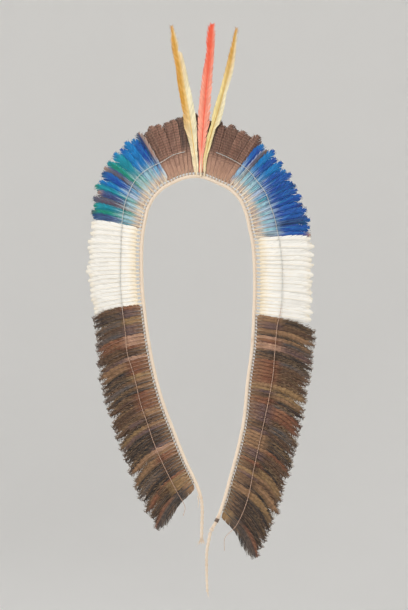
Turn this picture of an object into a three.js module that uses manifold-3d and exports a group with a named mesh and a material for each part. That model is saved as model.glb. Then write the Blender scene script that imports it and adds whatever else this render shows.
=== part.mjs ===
// Feathered headdress: a cotton base cord bent into a long hanging loop, fringed all round with
// shingled wing feathers, with three tall tail feathers at the crown and two tie ends below.
// Millimetres, +Z up. The headdress hangs in the XZ plane and its worn face looks along -Y.
// The origin is the underside of the base cord at the crown, where it rests on the head.
import * as THREE from "three";
import { mergeVertices } from "three/addons/utils/BufferGeometryUtils.js";
import Module from "manifold-3d";

const wasm = await Module();
wasm.setup();

const LEFT = -1;
const RIGHT = 1;

// Driving dimensions.
const GAP = 0.3; // clearance between neighbouring pieces
const CORD = { diameter: 6, sides: 8, step: 19 };
const TIE = { leftDiameter: 6, rightDiameter: 4.8, sides: 8, step: 12 };
const STRAND = { diameter: 1.8, sides: 8, step: 5 };
const THREAD = { diameter: 0.9, sides: 6, step: 20, inFront: 2.5 };
const LASHING = { wide: 2.6, thick: 2.4, step: 9, endGap: 0.25 }; // strip of folded quill butts
const BLADE = { thick: 0.7, tilt: 12, curl: 5 };
const TALL = { thick: 0.8, tilt: 0, curl: 6 };
const WHIPPING = { length: 7, wall: 0.9, sides: 12, fromEnd: 15 };
const KNOT = { length: 7, diameter: 8.4, sides: 12 };
const TUFT = { length: 13, neck: 6, mouth: 13, sides: 12 };

// The centreline of the base cord, [x, z] from the left end over the crown to the right end.
const LOOP_ROUTE = [
  [7.5, -562], [3, -546], [-4.5, -528], [-20.3, -494.5], [-41.3, -442], [-60.8, -389.5],
  [-75, -337], [-85, -284], [-92, -231], [-96, -187], [-96.5, -117], [-94, -91], [-90.5, -73],
  [-86.5, -55], [-77.5, -37], [-60.5, -18.5], [-42, -8], [-22, 0.3],
  [0, 3],
  [15, 0.3], [34.5, -8], [56, -18.5], [74.5, -36.5], [83.5, -55], [89, -73], [92.5, -90.5],
  [96.5, -108], [99.5, -135], [101, -187], [99.5, -240], [96, -301], [89, -354], [82, -424],
  [71, -477], [57, -529.5], [47.5, -564], [35, -598.5], [27.5, -612],
];
const CROWN_POINT = 18; // index of [0, 3]

// Free ends of the cord, [x, z] from where the knotted loop lets go of them.
const TIE_LEFT_ROUTE = [[7.8, -562.9], [9.2, -581], [8.6, -606], [8, -630]];
const TIE_RIGHT_ROUTE = [[23.3, -619.5], [20.5, -635], [17.5, -651], [17, -695], [18, -724]];
const STRAND_ROUTE = [[1.3, -556], [2.6, -566], [1.6, -577]];

// The thin threads that are knotted to every quill half way out, [x, z] from the crown downwards.
const THREAD_LEFT_ROUTE = [
  [-21, 46], [-42, 40], [-62, 28], [-77, 21], [-97, 8], [-110, -7], [-119, -25], [-126, -44],
  [-131, -75], [-133, -107], [-134, -192], [-131, -227], [-126, -266], [-122, -307],
  [-111, -343], [-98, -397], [-87, -429], [-76, -462], [-62, -495], [-48, -524], [-34, -551],
  [-21, -576], [-24, -591],
];
const THREAD_RIGHT_ROUTE = [
  [33, 45], [58, 34], [88, 15], [104, -4], [120, -26], [128, -48], [136, -71], [140, -91],
  [144, -112], [149, -161], [146, -236], [141, -255], [136, -306], [133, -344], [127, -380],
  [117, -428], [100, -506], [87, -567], [68, -609], [49, -630], [48, -652],
];

const BROWN = 0x5a3c30;
const DARK_BROWN = 0x4a3628;
const BLUE = 0x1f5fa8;
const WHITE = 0xf2ece0;
const CREAM = 0xf0dcc0;
const PALE_GREY = 0xb9b3a8;
const YELLOW = 0xdfb455;
const PALE_YELLOW = 0xe6d38a;
const CORAL = 0xf07c62;

// Stretches of feathers. from and to are distances along the cord from the crown. rise is the angle
// of the quill above the horizontal, pointing outwards, and droop is how far the blade bends down
// from there to its tip; both run from the first feather to the last, as length does.
const STRETCHES = [
  // name, side, from, to, count, rise, droop, length, width, colour
  ["crown_feathers_left", LEFT, 6, 50, 8, [90, 66], [0, 2], [103, 99], 15, BROWN],
  ["blue_feathers_left_1", LEFT, 50, 97, 7, [62, 36], [0, 2], [98, 99], 15, BLUE],
  ["blue_feathers_left_2", LEFT, 97, 146, 8, [33, 14], [2, 4], [97, 90], 15, BLUE],
  ["white_feathers_left_1", LEFT, 146, 213, 10, [12, 0], [3, 4], [89, 92], 15, WHITE],
  ["white_feathers_left_2", LEFT, 213, 279, 10, [-1, -9], [4, 5], [92, 86], 15, WHITE],
  ["brown_feathers_left_1", LEFT, 279, 346, 11, [-10, -16], [8, 10], [84, 88], 14, DARK_BROWN],
  ["brown_feathers_left_2", LEFT, 346, 413, 11, [-16, -20], [12, 14], [88, 93], 14, DARK_BROWN],
  ["brown_feathers_left_3", LEFT, 413, 480, 11, [-20, -25], [14, 16], [93, 94], 14, DARK_BROWN],
  ["brown_feathers_left_4", LEFT, 480, 547, 11, [-25, -33], [16, 18], [94, 98], 14, DARK_BROWN],
  ["brown_feathers_left_5", LEFT, 547, 606, 11, [-33, -48], [18, 20], [98, 101], 14, DARK_BROWN],
  ["crown_feathers_right", RIGHT, 6, 56, 9, [90, 57], [0, 0], [101, 99], 15, BROWN],
  ["blue_feathers_right_1", RIGHT, 56, 107, 8, [52, 30], [0, 2], [95, 95], 15, BLUE],
  ["blue_feathers_right_2", RIGHT, 107, 161, 9, [28, 4], [2, 2], [97, 101], 15, BLUE],
  ["white_feathers_right_1", RIGHT, 161, 227, 10, [3, -3], [2, 2], [101, 96], 15, WHITE],
  ["white_feathers_right_2", RIGHT, 227, 293, 11, [-3, -6], [2, 4], [96, 98], 15, WHITE],
  ["brown_feathers_right_1", RIGHT, 293, 363, 12, [-8, -12], [8, 12], [103, 105], 14, DARK_BROWN],
  ["brown_feathers_right_2", RIGHT, 363, 433, 12, [-12, -16], [14, 16], [105, 101], 14, DARK_BROWN],
  ["brown_feathers_right_3", RIGHT, 433, 503, 12, [-16, -24], [16, 20], [101, 99], 14, DARK_BROWN],
  ["brown_feathers_right_4", RIGHT, 503, 573, 12, [-24, -34], [22, 22], [99, 103], 14, DARK_BROWN],
  ["brown_feathers_right_5", RIGHT, 573, 643, 12, [-34, -48], [22, 22], [103, 105], 14, DARK_BROWN],
];

// The width of a wing feather along its length: a bare quill, then the vane to a rounded tip.
const WING_OUTLINE = [
  // share of the length, share of the width
  [0, 0.11],
  [0.05, 0.13],
  [0.17, 0.66],
  [0.75, 1],
  [1, 0.42],
];

// The tall tail feathers, whose quills are tied in at the crown in front of the wing feathers.
// Each row is [x, z, half width] from the quill's foot to the tip.
const TALL_FEATHERS = [
  {
    name: "tail_feather_yellow_left",
    color: YELLOW,
    inFront: 2.3,
    rows: [
      [-1.5, 7.6, 1.6], [-2, 22, 3.6], [-4, 40, 5], [-6, 54, 5.8], [-8.5, 75, 9], [-11.8, 93, 11.5],
      [-15.5, 120, 11.2], [-24.8, 168, 10.4], [-33, 212, 8.4], [-38.7, 236, 6.5], [-44, 267, 2],
    ],
  },
  {
    name: "tail_feather_red",
    color: CORAL,
    inFront: 3.9,
    rows: [
      [6.5, 7, 1.6], [6.8, 40, 2.2], [8.4, 50, 5], [9.3, 75, 8.4], [11.3, 93, 10.5], [12.8, 118, 11],
      [16.9, 168, 9.9], [19.5, 193, 8.6], [23.4, 230, 7.6], [24.8, 258, 6.8], [26, 270, 4.6],
    ],
  },
  {
    name: "tail_feather_yellow_right",
    color: PALE_YELLOW,
    inFront: 2.3,
    rows: [
      [14, 5.6, 1.5], [12.8, 20, 2], [14.5, 36, 3.2], [18.5, 50, 4], [22, 70, 5.5], [29.3, 93, 6.5],
      [35, 108, 8.6], [39.8, 127, 8.7], [46, 152, 7], [53.5, 177, 7.5], [62, 219, 5.9],
      [66.2, 244, 3.5], [69.3, 264, 1.6],
    ],
  },
];

const { degToRad, lerp } = THREE.MathUtils;

function onPlane([x, z], y = 0) {
  return new THREE.Vector3(x, y, z);
}

function smoothPath(route, y = 0) {
  const points = route.map((point) => onPlane(point, y));
  return new THREE.CatmullRomCurve3(points, false, "centripetal");
}

// A closed geometry as a manifold-3d solid, with its faces turned outwards.
function solidOf(geometry) {
  const bare = geometry.index ? geometry.toNonIndexed() : geometry.clone();
  bare.deleteAttribute("normal");
  bare.deleteAttribute("uv");
  const merged = mergeVertices(bare);
  const vertProperties = merged.attributes.position.array;
  const triVerts = new Uint32Array(merged.index.array);
  const solid = new wasm.Manifold(new wasm.Mesh({ numProp: 3, vertProperties, triVerts }));
  if (solid.volume() > 0) return solid;
  triVerts.reverse();
  return new wasm.Manifold(new wasm.Mesh({ numProp: 3, vertProperties, triVerts }));
}

function geometryOf(solid) {
  const { vertProperties, triVerts } = solid.getMesh();
  const geometry = new THREE.BufferGeometry();
  geometry.setAttribute("position", new THREE.BufferAttribute(vertProperties, 3));
  geometry.setIndex(new THREE.BufferAttribute(triVerts, 1));
  geometry.computeVertexNormals();
  return geometry;
}

function regularSection(radius, sides) {
  const corners = Array.from({ length: sides }, (_, i) => {
    const angle = ((i + 0.5) / sides) * 2 * Math.PI;
    return new THREE.Vector2(radius * Math.cos(angle), radius * Math.sin(angle));
  });
  return new THREE.Shape(corners);
}

// A section carried along a path, with a step about every stepLength.
function sweep(section, path, stepLength) {
  const steps = Math.max(2, Math.round(path.getLength() / stepLength));
  return new THREE.ExtrudeGeometry(section, { steps, extrudePath: path, bevelEnabled: false });
}

function roundCord(path, { diameter, sides, step }) {
  return sweep(regularSection(diameter / 2, sides), path, step);
}

const loop = smoothPath(LOOP_ROUTE);
const LOOP_DIVISIONS = 2000;
loop.arcLengthDivisions = LOOP_DIVISIONS;
const loopLength = loop.getLength();
const crownShare = CROWN_POINT / (LOOP_ROUTE.length - 1);
const crownAt = loop.getLengths()[Math.round(crownShare * LOOP_DIVISIONS)];

// The place on the lashing strip at a distance from the crown down one side.
function lashingPoint(side, distance) {
  const share = (crownAt + side * distance) / loopLength;
  const along = loop.getTangentAt(share);
  const outwards = new THREE.Vector3(-along.z, 0, along.x);
  const offset = CORD.diameter / 2 + GAP + LASHING.wide / 2;
  return loop.getPointAt(share).addScaledVector(outwards, offset);
}

// The strip of folded and lashed quill butts that carries one stretch of feathers.
function lashingStrip(side, from, to) {
  const start = from + LASHING.endGap;
  const run = to - LASHING.endGap - start;
  const steps = Math.ceil(run / LASHING.step);
  const points = Array.from({ length: steps + 1 }, (_, i) =>
    lashingPoint(side, start + (run * i) / steps),
  );
  const across = LASHING.wide / 2;
  const deep = LASHING.thick / 2;
  const section = new THREE.Shape([
    new THREE.Vector2(-deep, -across),
    new THREE.Vector2(deep, -across),
    new THREE.Vector2(deep, across),
    new THREE.Vector2(-deep, across),
  ]);
  return sweep(section, new THREE.CatmullRomCurve3(points), LASHING.step);
}

// The cross-sections of a wing feather, which leaves its foot at rise and bends down by droop.
function wingStations({ foot, side, rise, droop, length, width }) {
  const stations = [];
  let centre = foot;
  WING_OUTLINE.forEach(([share, breadth], i) => {
    const angle = degToRad(rise - droop * share);
    const ahead = new THREE.Vector3(side * Math.cos(angle), 0, Math.sin(angle));
    if (i > 0) {
      const mean = stations[i - 1].ahead.clone().add(ahead).normalize();
      const advance = (share - stations[i - 1].share) * length;
      centre = centre.clone().addScaledVector(mean, advance);
    }
    const across = new THREE.Vector3(-side * ahead.z, 0, side * ahead.x);
    stations.push({ share, half: (breadth * width) / 2, ahead, centre, across });
  });
  return stations;
}

// The cross-sections of a tall feather, which follows its rows of [x, z, half width].
function tallStations(rows, inFront) {
  const [footX, footZ] = rows[0];
  const [tipX, tipZ] = rows.at(-1);
  const height = Math.hypot(tipX - footX, tipZ - footZ);
  return rows.map(([x, z, half], i) => {
    const [beforeX, beforeZ] = rows[Math.max(i - 1, 0)];
    const [afterX, afterZ] = rows[Math.min(i + 1, rows.length - 1)];
    const ahead = onPlane([afterX - beforeX, afterZ - beforeZ]).normalize();
    const share = Math.hypot(x - footX, z - footZ) / height;
    const across = new THREE.Vector3(-ahead.z, 0, ahead.x);
    return { share, half, centre: onPlane([x, z], -inFront), across };
  });
}

// One feather: a three-sided blade with a flat back and the quill as a ridge in front. It curls
// back towards the tip, and tilt brings its crown edge to the front.
function featherBlade(stations, { thick, tilt, curl }) {
  const segments = stations.length - 1;
  const blade = new THREE.CylinderGeometry(1, 1, 1, 3, segments);
  const position = blade.attributes.position;
  const corner = { wide: Math.sin(degToRad(120)), low: Math.cos(degToRad(120)) };
  const lean = degToRad(tilt);
  for (let i = 0; i < position.count; i++) {
    const station = stations[Math.round((position.getY(i) + 0.5) * segments)];
    const sideways = (position.getX(i) / corner.wide) * station.half;
    const forward = ((position.getZ(i) - corner.low) / (1 - corner.low)) * thick;
    const place = station.centre
      .clone()
      .addScaledVector(station.across, sideways * Math.cos(lean) - forward * Math.sin(lean));
    place.y -= sideways * Math.sin(lean) + forward * Math.cos(lean);
    place.y += curl * station.share ** 2;
    position.setXYZ(i, place.x, place.y, place.z);
  }
  return blade;
}

// A stretch of shingled feathers fused to its strip of quill butts.
function featherStretch(side, from, to, count, rise, droop, length, width) {
  const pitch = (to - from) / count;
  let solid = solidOf(lashingStrip(side, from, to));
  for (let i = 0; i < count; i++) {
    const share = i / (count - 1);
    const stations = wingStations({
      foot: lashingPoint(side, from + (i + 0.5) * pitch),
      side,
      rise: lerp(...rise, share),
      droop: lerp(...droop, share),
      length: lerp(...length, share),
      width,
    });
    solid = solid.add(solidOf(featherBlade(stations, BLADE)));
  }
  return geometryOf(solid);
}

// A turned profile of [radius, height] points, closed on the axis or on itself.
function turned(profile, sides) {
  return new THREE.LatheGeometry(profile.map(([r, h]) => new THREE.Vector2(r, h)), sides);
}

function whippingGeometry() {
  const inner = (CORD.diameter / 2 + 2 * GAP) / Math.cos(Math.PI / WHIPPING.sides);
  const outer = inner + WHIPPING.wall;
  const half = WHIPPING.length / 2;
  const profile = [[inner, -half], [outer, -half], [outer, half], [inner, half], [inner, -half]];
  return turned(profile, WHIPPING.sides);
}

function knotGeometry() {
  const half = KNOT.length / 2;
  const full = KNOT.diameter / 2;
  const end = CORD.diameter / 2;
  const waist = half / 2;
  const profile = [[0, -half], [end, -half], [full, -waist], [full, waist], [end, half], [0, half]];
  return turned(profile, KNOT.sides);
}

function tuftGeometry() {
  const neck = TUFT.neck / 2;
  const mouth = TUFT.mouth / 2;
  const profile = [[0, -TUFT.length], [mouth, -TUFT.length], [neck, 0], [0, 0]];
  return turned(profile, TUFT.sides);
}

const headdress = new THREE.Group();

function addPiece(name, geometry, color, roughness = 0.85) {
  const material = new THREE.MeshStandardMaterial({ color, roughness, metalness: 0 });
  const mesh = new THREE.Mesh(geometry, material);
  mesh.name = name;
  headdress.add(mesh);
  return mesh;
}

// Puts a turned piece's middle at a place, with its axis along a direction.
function standAlong(mesh, at, direction) {
  mesh.position.copy(at);
  mesh.quaternion.setFromUnitVectors(new THREE.Vector3(0, 1, 0), direction);
}

addPiece("base_cord", roundCord(loop, CORD), CREAM);

for (const [name, side, from, to, count, rise, droop, length, width, color] of STRETCHES) {
  addPiece(name, featherStretch(side, from, to, count, rise, droop, length, width), color, 0.6);
}

for (const { name, color, inFront, rows } of TALL_FEATHERS) {
  const blade = featherBlade(tallStations(rows, inFront), TALL);
  addPiece(name, geometryOf(solidOf(blade)), color, 0.55);
}

const threadPath = (route) => smoothPath(route, -THREAD.inFront);
addPiece("binding_thread_left", roundCord(threadPath(THREAD_LEFT_ROUTE), THREAD), PALE_GREY);
addPiece("binding_thread_right", roundCord(threadPath(THREAD_RIGHT_ROUTE), THREAD), PALE_GREY);

const tieLeft = { ...TIE, diameter: TIE.leftDiameter };
const tieRight = { ...TIE, diameter: TIE.rightDiameter };
addPiece("tie_left", roundCord(smoothPath(TIE_LEFT_ROUTE), tieLeft), CREAM);
addPiece("tie_right", roundCord(smoothPath(TIE_RIGHT_ROUTE), tieRight), CREAM);
addPiece("loose_strand", roundCord(smoothPath(STRAND_ROUTE), STRAND), CREAM);

const tuft = addPiece("tie_left_tuft", tuftGeometry(), CREAM);
const [tuftX, tuftZ] = TIE_LEFT_ROUTE.at(-1);
standAlong(tuft, onPlane([tuftX, tuftZ - GAP]), new THREE.Vector3(0, 0, 1));

// The dark thread whipping near the right end of the loop, round the cord.
const whippingShare = 1 - WHIPPING.fromEnd / loopLength;
const whipping = addPiece("cord_whipping", whippingGeometry(), DARK_BROWN);
standAlong(whipping, loop.getPointAt(whippingShare), loop.getTangentAt(whippingShare));

// The knot that closes the right end of the loop, above its tie.
const knot = addPiece("cord_knot", knotGeometry(), CREAM);
const loopEnd = loop.getPointAt(1);
const endDirection = loop.getTangentAt(1);
const knotOffset = KNOT.length / 2 + GAP;
standAlong(knot, loopEnd.clone().addScaledVector(endDirection, knotOffset), endDirection);

export default headdress;
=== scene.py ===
"""Feathered headdress: a cotton cord bent into a long hanging loop and fringed with wing feathers.

The fringe runs from mottled brown at the crown through blue and white to dark brown below. Three
tall tail feathers stand at the crown, two fine threads bind the quills half way out, and the two
free ends of the cord hang below. Lengths in the tables are millimetres, worn face to -Y, up +Z.
"""

import logging
import math
from dataclasses import dataclass, field
from enum import Enum
from typing import Callable, Dict, List, Optional, Sequence, Tuple, Union

import bpy
import numpy as np
from mathutils import Matrix, Vector


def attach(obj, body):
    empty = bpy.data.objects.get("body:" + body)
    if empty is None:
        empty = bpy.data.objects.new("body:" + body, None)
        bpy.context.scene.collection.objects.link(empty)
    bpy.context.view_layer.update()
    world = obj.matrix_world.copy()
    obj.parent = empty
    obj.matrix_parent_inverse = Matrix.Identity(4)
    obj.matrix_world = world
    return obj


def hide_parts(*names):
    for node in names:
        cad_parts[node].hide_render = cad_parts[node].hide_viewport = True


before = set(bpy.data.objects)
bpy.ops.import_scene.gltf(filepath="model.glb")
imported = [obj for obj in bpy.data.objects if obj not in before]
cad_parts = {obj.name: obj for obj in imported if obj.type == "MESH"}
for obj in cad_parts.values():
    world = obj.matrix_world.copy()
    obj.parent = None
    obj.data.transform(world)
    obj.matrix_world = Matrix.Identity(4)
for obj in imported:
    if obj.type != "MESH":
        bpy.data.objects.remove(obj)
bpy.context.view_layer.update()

BODY = "root"
MM = 0.001
log = logging.getLogger("headdress")

Colour = Tuple[float, float, float]
Array = np.ndarray

# The centreline of the base cord, [x, z] from the left end over the crown to the right end.
LOOP_ROUTE = [
    (7.5, -562), (3, -546), (-4.5, -528), (-20.3, -494.5), (-41.3, -442), (-60.8, -389.5),
    (-75, -337), (-85, -284), (-92, -231), (-96, -187), (-96.5, -117), (-94, -91), (-90.5, -73),
    (-86.5, -55), (-77.5, -37), (-60.5, -18.5), (-42, -8), (-22, 0.3),
    (0, 3),
    (15, 0.3), (34.5, -8), (56, -18.5), (74.5, -36.5), (83.5, -55), (89, -73), (92.5, -90.5),
    (96.5, -108), (99.5, -135), (101, -187), (99.5, -240), (96, -301), (89, -354), (82, -424),
    (71, -477), (57, -529.5), (47.5, -564), (35, -598.5), (27.5, -612),
]
CROWN_POINT = 18

# Free ends of the cord.
TIE_LEFT_ROUTE = [(7.8, -562.9), (9.2, -581), (8.6, -606), (8, -630)]
TIE_RIGHT_ROUTE = [(23.3, -619.5), (20.5, -635), (17.5, -651), (17, -695), (18, -724)]
STRAND_ROUTE = [(1.3, -556), (2.6, -566), (1.6, -577)]

# The two threads knotted to every quill half way out, from the crown downwards.
THREAD_LEFT_ROUTE = [
    (-21, 46), (-42, 40), (-62, 28), (-77, 21), (-97, 8), (-110, -7), (-119, -25), (-126, -44),
    (-131, -75), (-133, -107), (-134, -192), (-131, -227), (-126, -266), (-122, -307),
    (-111, -343), (-98, -397), (-87, -429), (-76, -462), (-62, -495), (-48, -524), (-34, -551),
    (-21, -576), (-24, -591),
]
THREAD_RIGHT_ROUTE = [
    (33, 45), (58, 34), (88, 15), (104, -4), (120, -26), (128, -48), (136, -71), (140, -91),
    (144, -112), (149, -161), (146, -236), (141, -255), (136, -306), (133, -344), (127, -380),
    (117, -428), (100, -506), (87, -567), (68, -609), (49, -630), (48, -652),
]


class Side(Enum):
    """The side of the loop that a stretch of feathers stands on."""

    LEFT = -1
    RIGHT = 1


class Kind(Enum):
    """The kinds of wing feather, by the record's name of their finish."""

    CROWN = "crown_brown"
    BLUE = "flight_blue"
    WHITE = "flight_white"
    BROWN = "flight_brown"


def linear(red: int, green: int, blue: int) -> Colour:
    """A colour given in display values from 0 to 255, as linear light."""
    return tuple(
        c / 12.92 if c <= 0.04045 else ((c + 0.055) / 1.055) ** 2.4
        for c in (red / 255, green / 255, blue / 255)
    )


class Hue(Enum):
    """The plumage colours."""

    NAVY = linear(22, 44, 104)
    ROYAL = linear(12, 66, 158)
    SKY = linear(4, 112, 184)
    TEAL = linear(0, 132, 150)
    GREEN = linear(16, 134, 108)
    SLATE = linear(58, 66, 118)
    DULL = linear(92, 76, 92)
    LAVENDER = linear(160, 168, 208)
    PALE_BLUE = linear(140, 186, 198)
    SKIN_TAN = linear(178, 138, 114)
    WHITE = linear(246, 243, 236)
    CREAM = linear(240, 229, 208)
    BLACK = linear(34, 32, 34)
    GREY = linear(74, 70, 70)
    UMBER = linear(76, 54, 40)
    TAN = linear(140, 106, 76)
    RUST = linear(120, 72, 50)
    GOLD = linear(144, 114, 76)
    PLUM = linear(92, 70, 70)
    CROWN_BASE = linear(158, 120, 102)
    CROWN_TIP = linear(130, 92, 76)
    CROWN_DARK = linear(56, 46, 42)
    OCHRE = linear(202, 144, 46)
    YELLOW = linear(232, 204, 128)
    PALE_YELLOW = linear(236, 216, 150)
    OLIVE = linear(186, 158, 82)
    IVORY = linear(236, 226, 190)
    BUFF = linear(196, 140, 84)
    CORAL = linear(236, 118, 96)
    SCARLET = linear(228, 78, 42)
    SALMON = linear(240, 156, 132)
    QUILL = linear(226, 208, 176)
    DARK_QUILL = linear(120, 92, 66)
    COTTON = linear(243, 222, 198)
    PALE_THREAD = linear(208, 208, 202)
    TAN_THREAD = linear(196, 160, 136)
    DARK_THREAD = linear(92, 68, 54)


def ramp(x: Union[float, Array], low: float, high: float) -> Array:
    """A smooth step from 0 at low to 1 at high."""
    t = np.clip((np.asarray(x, float) - low) / (high - low), 0, 1)
    return t * t * (3 - 2 * t)


def mix(a: Sequence[float], b: Sequence[float], share: Union[float, Array]) -> Array:
    """Colours between a and b, one for each share.

    Args:
        a: The colour, or colours, where the share is 0.
        b: The colour, or colours, where the share is 1.
        share: A share or an array of shares.

    Returns:
        An array whose last axis is the colour.
    """
    t = np.asarray(share, float)[..., None]
    return np.asarray(a, float) * (1 - t) + np.asarray(b, float) * t


class Route:
    """A smooth line through given points, walked by distance."""

    STEPS = 40

    def __init__(self, points: Sequence[Tuple[float, float]], depth: float = 0.0) -> None:
        """Runs a centripetal spline through the points.

        Args:
            points: Points as (x, z), in millimetres.
            depth: The y of the whole line, in millimetres.
        """
        knots = np.array([(x, depth, z) for x, z in points], float) * MM
        ends = np.vstack([2 * knots[0] - knots[1], knots, 2 * knots[-1] - knots[-2]])
        line = [knots[:1]]
        for p0, p1, p2, p3 in zip(ends, ends[1:], ends[2:], ends[3:]):
            line.append(self._span(p0, p1, p2, p3))
        self.line = np.vstack(line)
        steps = np.linalg.norm(np.diff(self.line, axis=0), axis=1)
        self.walked = np.concatenate([[0.0], np.cumsum(steps)])
        self.length = float(self.walked[-1])

    def _span(self, p0: Array, p1: Array, p2: Array, p3: Array) -> Array:
        """The points of one span of the spline, without its first."""
        d0, d1, d2 = (math.sqrt(np.linalg.norm(b - a)) for a, b in ((p0, p1), (p1, p2), (p2, p3)))
        leave = ((p1 - p0) / d0 - (p2 - p0) / (d0 + d1) + (p2 - p1) / d1) * d1
        arrive = ((p2 - p1) / d1 - (p3 - p1) / (d1 + d2) + (p3 - p2) / d2) * d1
        t = np.linspace(0, 1, self.STEPS + 1)[1:, None]
        cubic = 2 * p1 - 2 * p2 + leave + arrive
        square = -3 * p1 + 3 * p2 - 2 * leave - arrive
        return cubic * t**3 + square * t**2 + leave * t + p1

    def at(self, distance: Union[float, Array]) -> Array:
        """The places at distances along the line."""
        reach = np.atleast_1d(np.asarray(distance, float))
        axes = [np.interp(reach, self.walked, self.line[:, i]) for i in range(3)]
        return np.stack(axes, axis=-1)

    def heading(self, distance: Union[float, Array]) -> Array:
        """The unit directions of travel at distances along the line."""
        reach = np.atleast_1d(np.asarray(distance, float))
        nudge = 0.5 * MM
        ahead = self.at(reach + nudge) - self.at(reach - nudge)
        return ahead / np.linalg.norm(ahead, axis=1, keepdims=True)

    def spaced(self, step: float) -> Array:
        """Points along the whole line with about that step between them, in metres."""
        return self.at(np.linspace(0, self.length, max(3, round(self.length / step) + 1)))


LOOP = Route(LOOP_ROUTE)
CROWN_AT = float(LOOP.walked[CROWN_POINT * Route.STEPS])


def cord_place(side: Side, distance: float) -> Tuple[Array, Array, Array]:
    """Where the cord is at a distance from the crown down one side.

    Args:
        side: The side of the loop.
        distance: The distance along the cord from the crown, in millimetres.

    Returns:
        The centre of the cord, its direction away from the crown, and the outward direction.
    """
    reach = CROWN_AT + side.value * distance * MM
    along = LOOP.heading(reach)[0]
    outwards = np.array([-along[2], 0.0, along[0]])
    return LOOP.at(reach)[0], along * side.value, outwards


class Mould:
    """Faces gathered from arrays, with a colour, a pattern place and a seed at each point."""

    def __init__(self) -> None:
        """Starts with no faces."""
        self.places: List[Array] = []
        self.colours: List[Array] = []
        self.patterns: List[Array] = []
        self.seeds: List[Array] = []
        self.faces: List[Tuple[int, ...]] = []
        self.finishes: List[int] = []
        self.count = 0

    def add(
        self,
        places: Array,
        faces: Sequence[Sequence[int]],
        colour: Array,
        pattern: Array,
        seed: float,
        finish: int = 0,
    ) -> None:
        """Adds one patch of faces.

        Args:
            places: Points, in metres.
            faces: The faces, as indices into places.
            colour: One colour, or one for each point.
            pattern: Two pattern coordinates for each point, in millimetres.
            seed: A number that tells this patch's pattern from the others.
            finish: The index of the material.
        """
        n = len(places)
        self.places.append(places)
        self.colours.append(np.broadcast_to(np.asarray(colour, float), (n, 3)))
        self.patterns.append(pattern)
        self.seeds.append(np.full(n, seed))
        self.faces.extend(tuple(i + self.count for i in f) for f in faces)
        self.finishes.extend([finish] * len(faces))
        self.count += n

    def cast(self, name: str, finishes: Sequence[bpy.types.Material]) -> bpy.types.Object:
        """Makes the mesh object.

        Args:
            name: The piece's name.
            finishes: Its materials, in the order of the finish indices.

        Returns:
            The object, at the origin.
        """
        mesh = bpy.data.meshes.new(name)
        mesh.from_pydata(np.vstack(self.places).tolist(), [], self.faces)
        for finish in finishes:
            mesh.materials.append(finish)
        mesh.polygons.foreach_set("material_index", np.array(self.finishes, np.int32))
        plume = mesh.attributes.new("plume", "FLOAT_COLOR", "POINT")
        rgba = np.hstack([np.vstack(self.colours), np.ones((self.count, 1))])
        plume.data.foreach_set("color", rgba.astype(np.float32).ravel())
        seed = mesh.attributes.new("seed", "FLOAT", "POINT")
        seed.data.foreach_set("value", np.concatenate(self.seeds).astype(np.float32))
        corner = np.zeros(len(mesh.loops), np.int32)
        mesh.loops.foreach_get("vertex_index", corner)
        pattern = mesh.uv_layers.new(name="pattern")
        flat = np.vstack(self.patterns)[corner].astype(np.float32).ravel()
        pattern.uv.foreach_set("vector", flat)
        mesh.update()
        piece = bpy.data.objects.new(name, mesh)
        bpy.context.scene.collection.objects.link(piece)
        return piece


def grid_faces(rows: int, columns: int, turned: bool = False) -> List[Tuple[int, ...]]:
    """The quads of a grid of points laid out row by row.

    Args:
        rows: The number of rows of points.
        columns: The number of points in a row.
        turned: Whether the faces look the other way.

    Returns:
        Quads of point indices.
    """
    first = (np.arange(rows - 1)[:, None] * columns + np.arange(columns - 1)).ravel()
    quads = np.stack([first, first + 1, first + columns + 1, first + columns], axis=1)
    return [tuple(q[::-1] if turned else q) for q in quads.tolist()]


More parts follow.
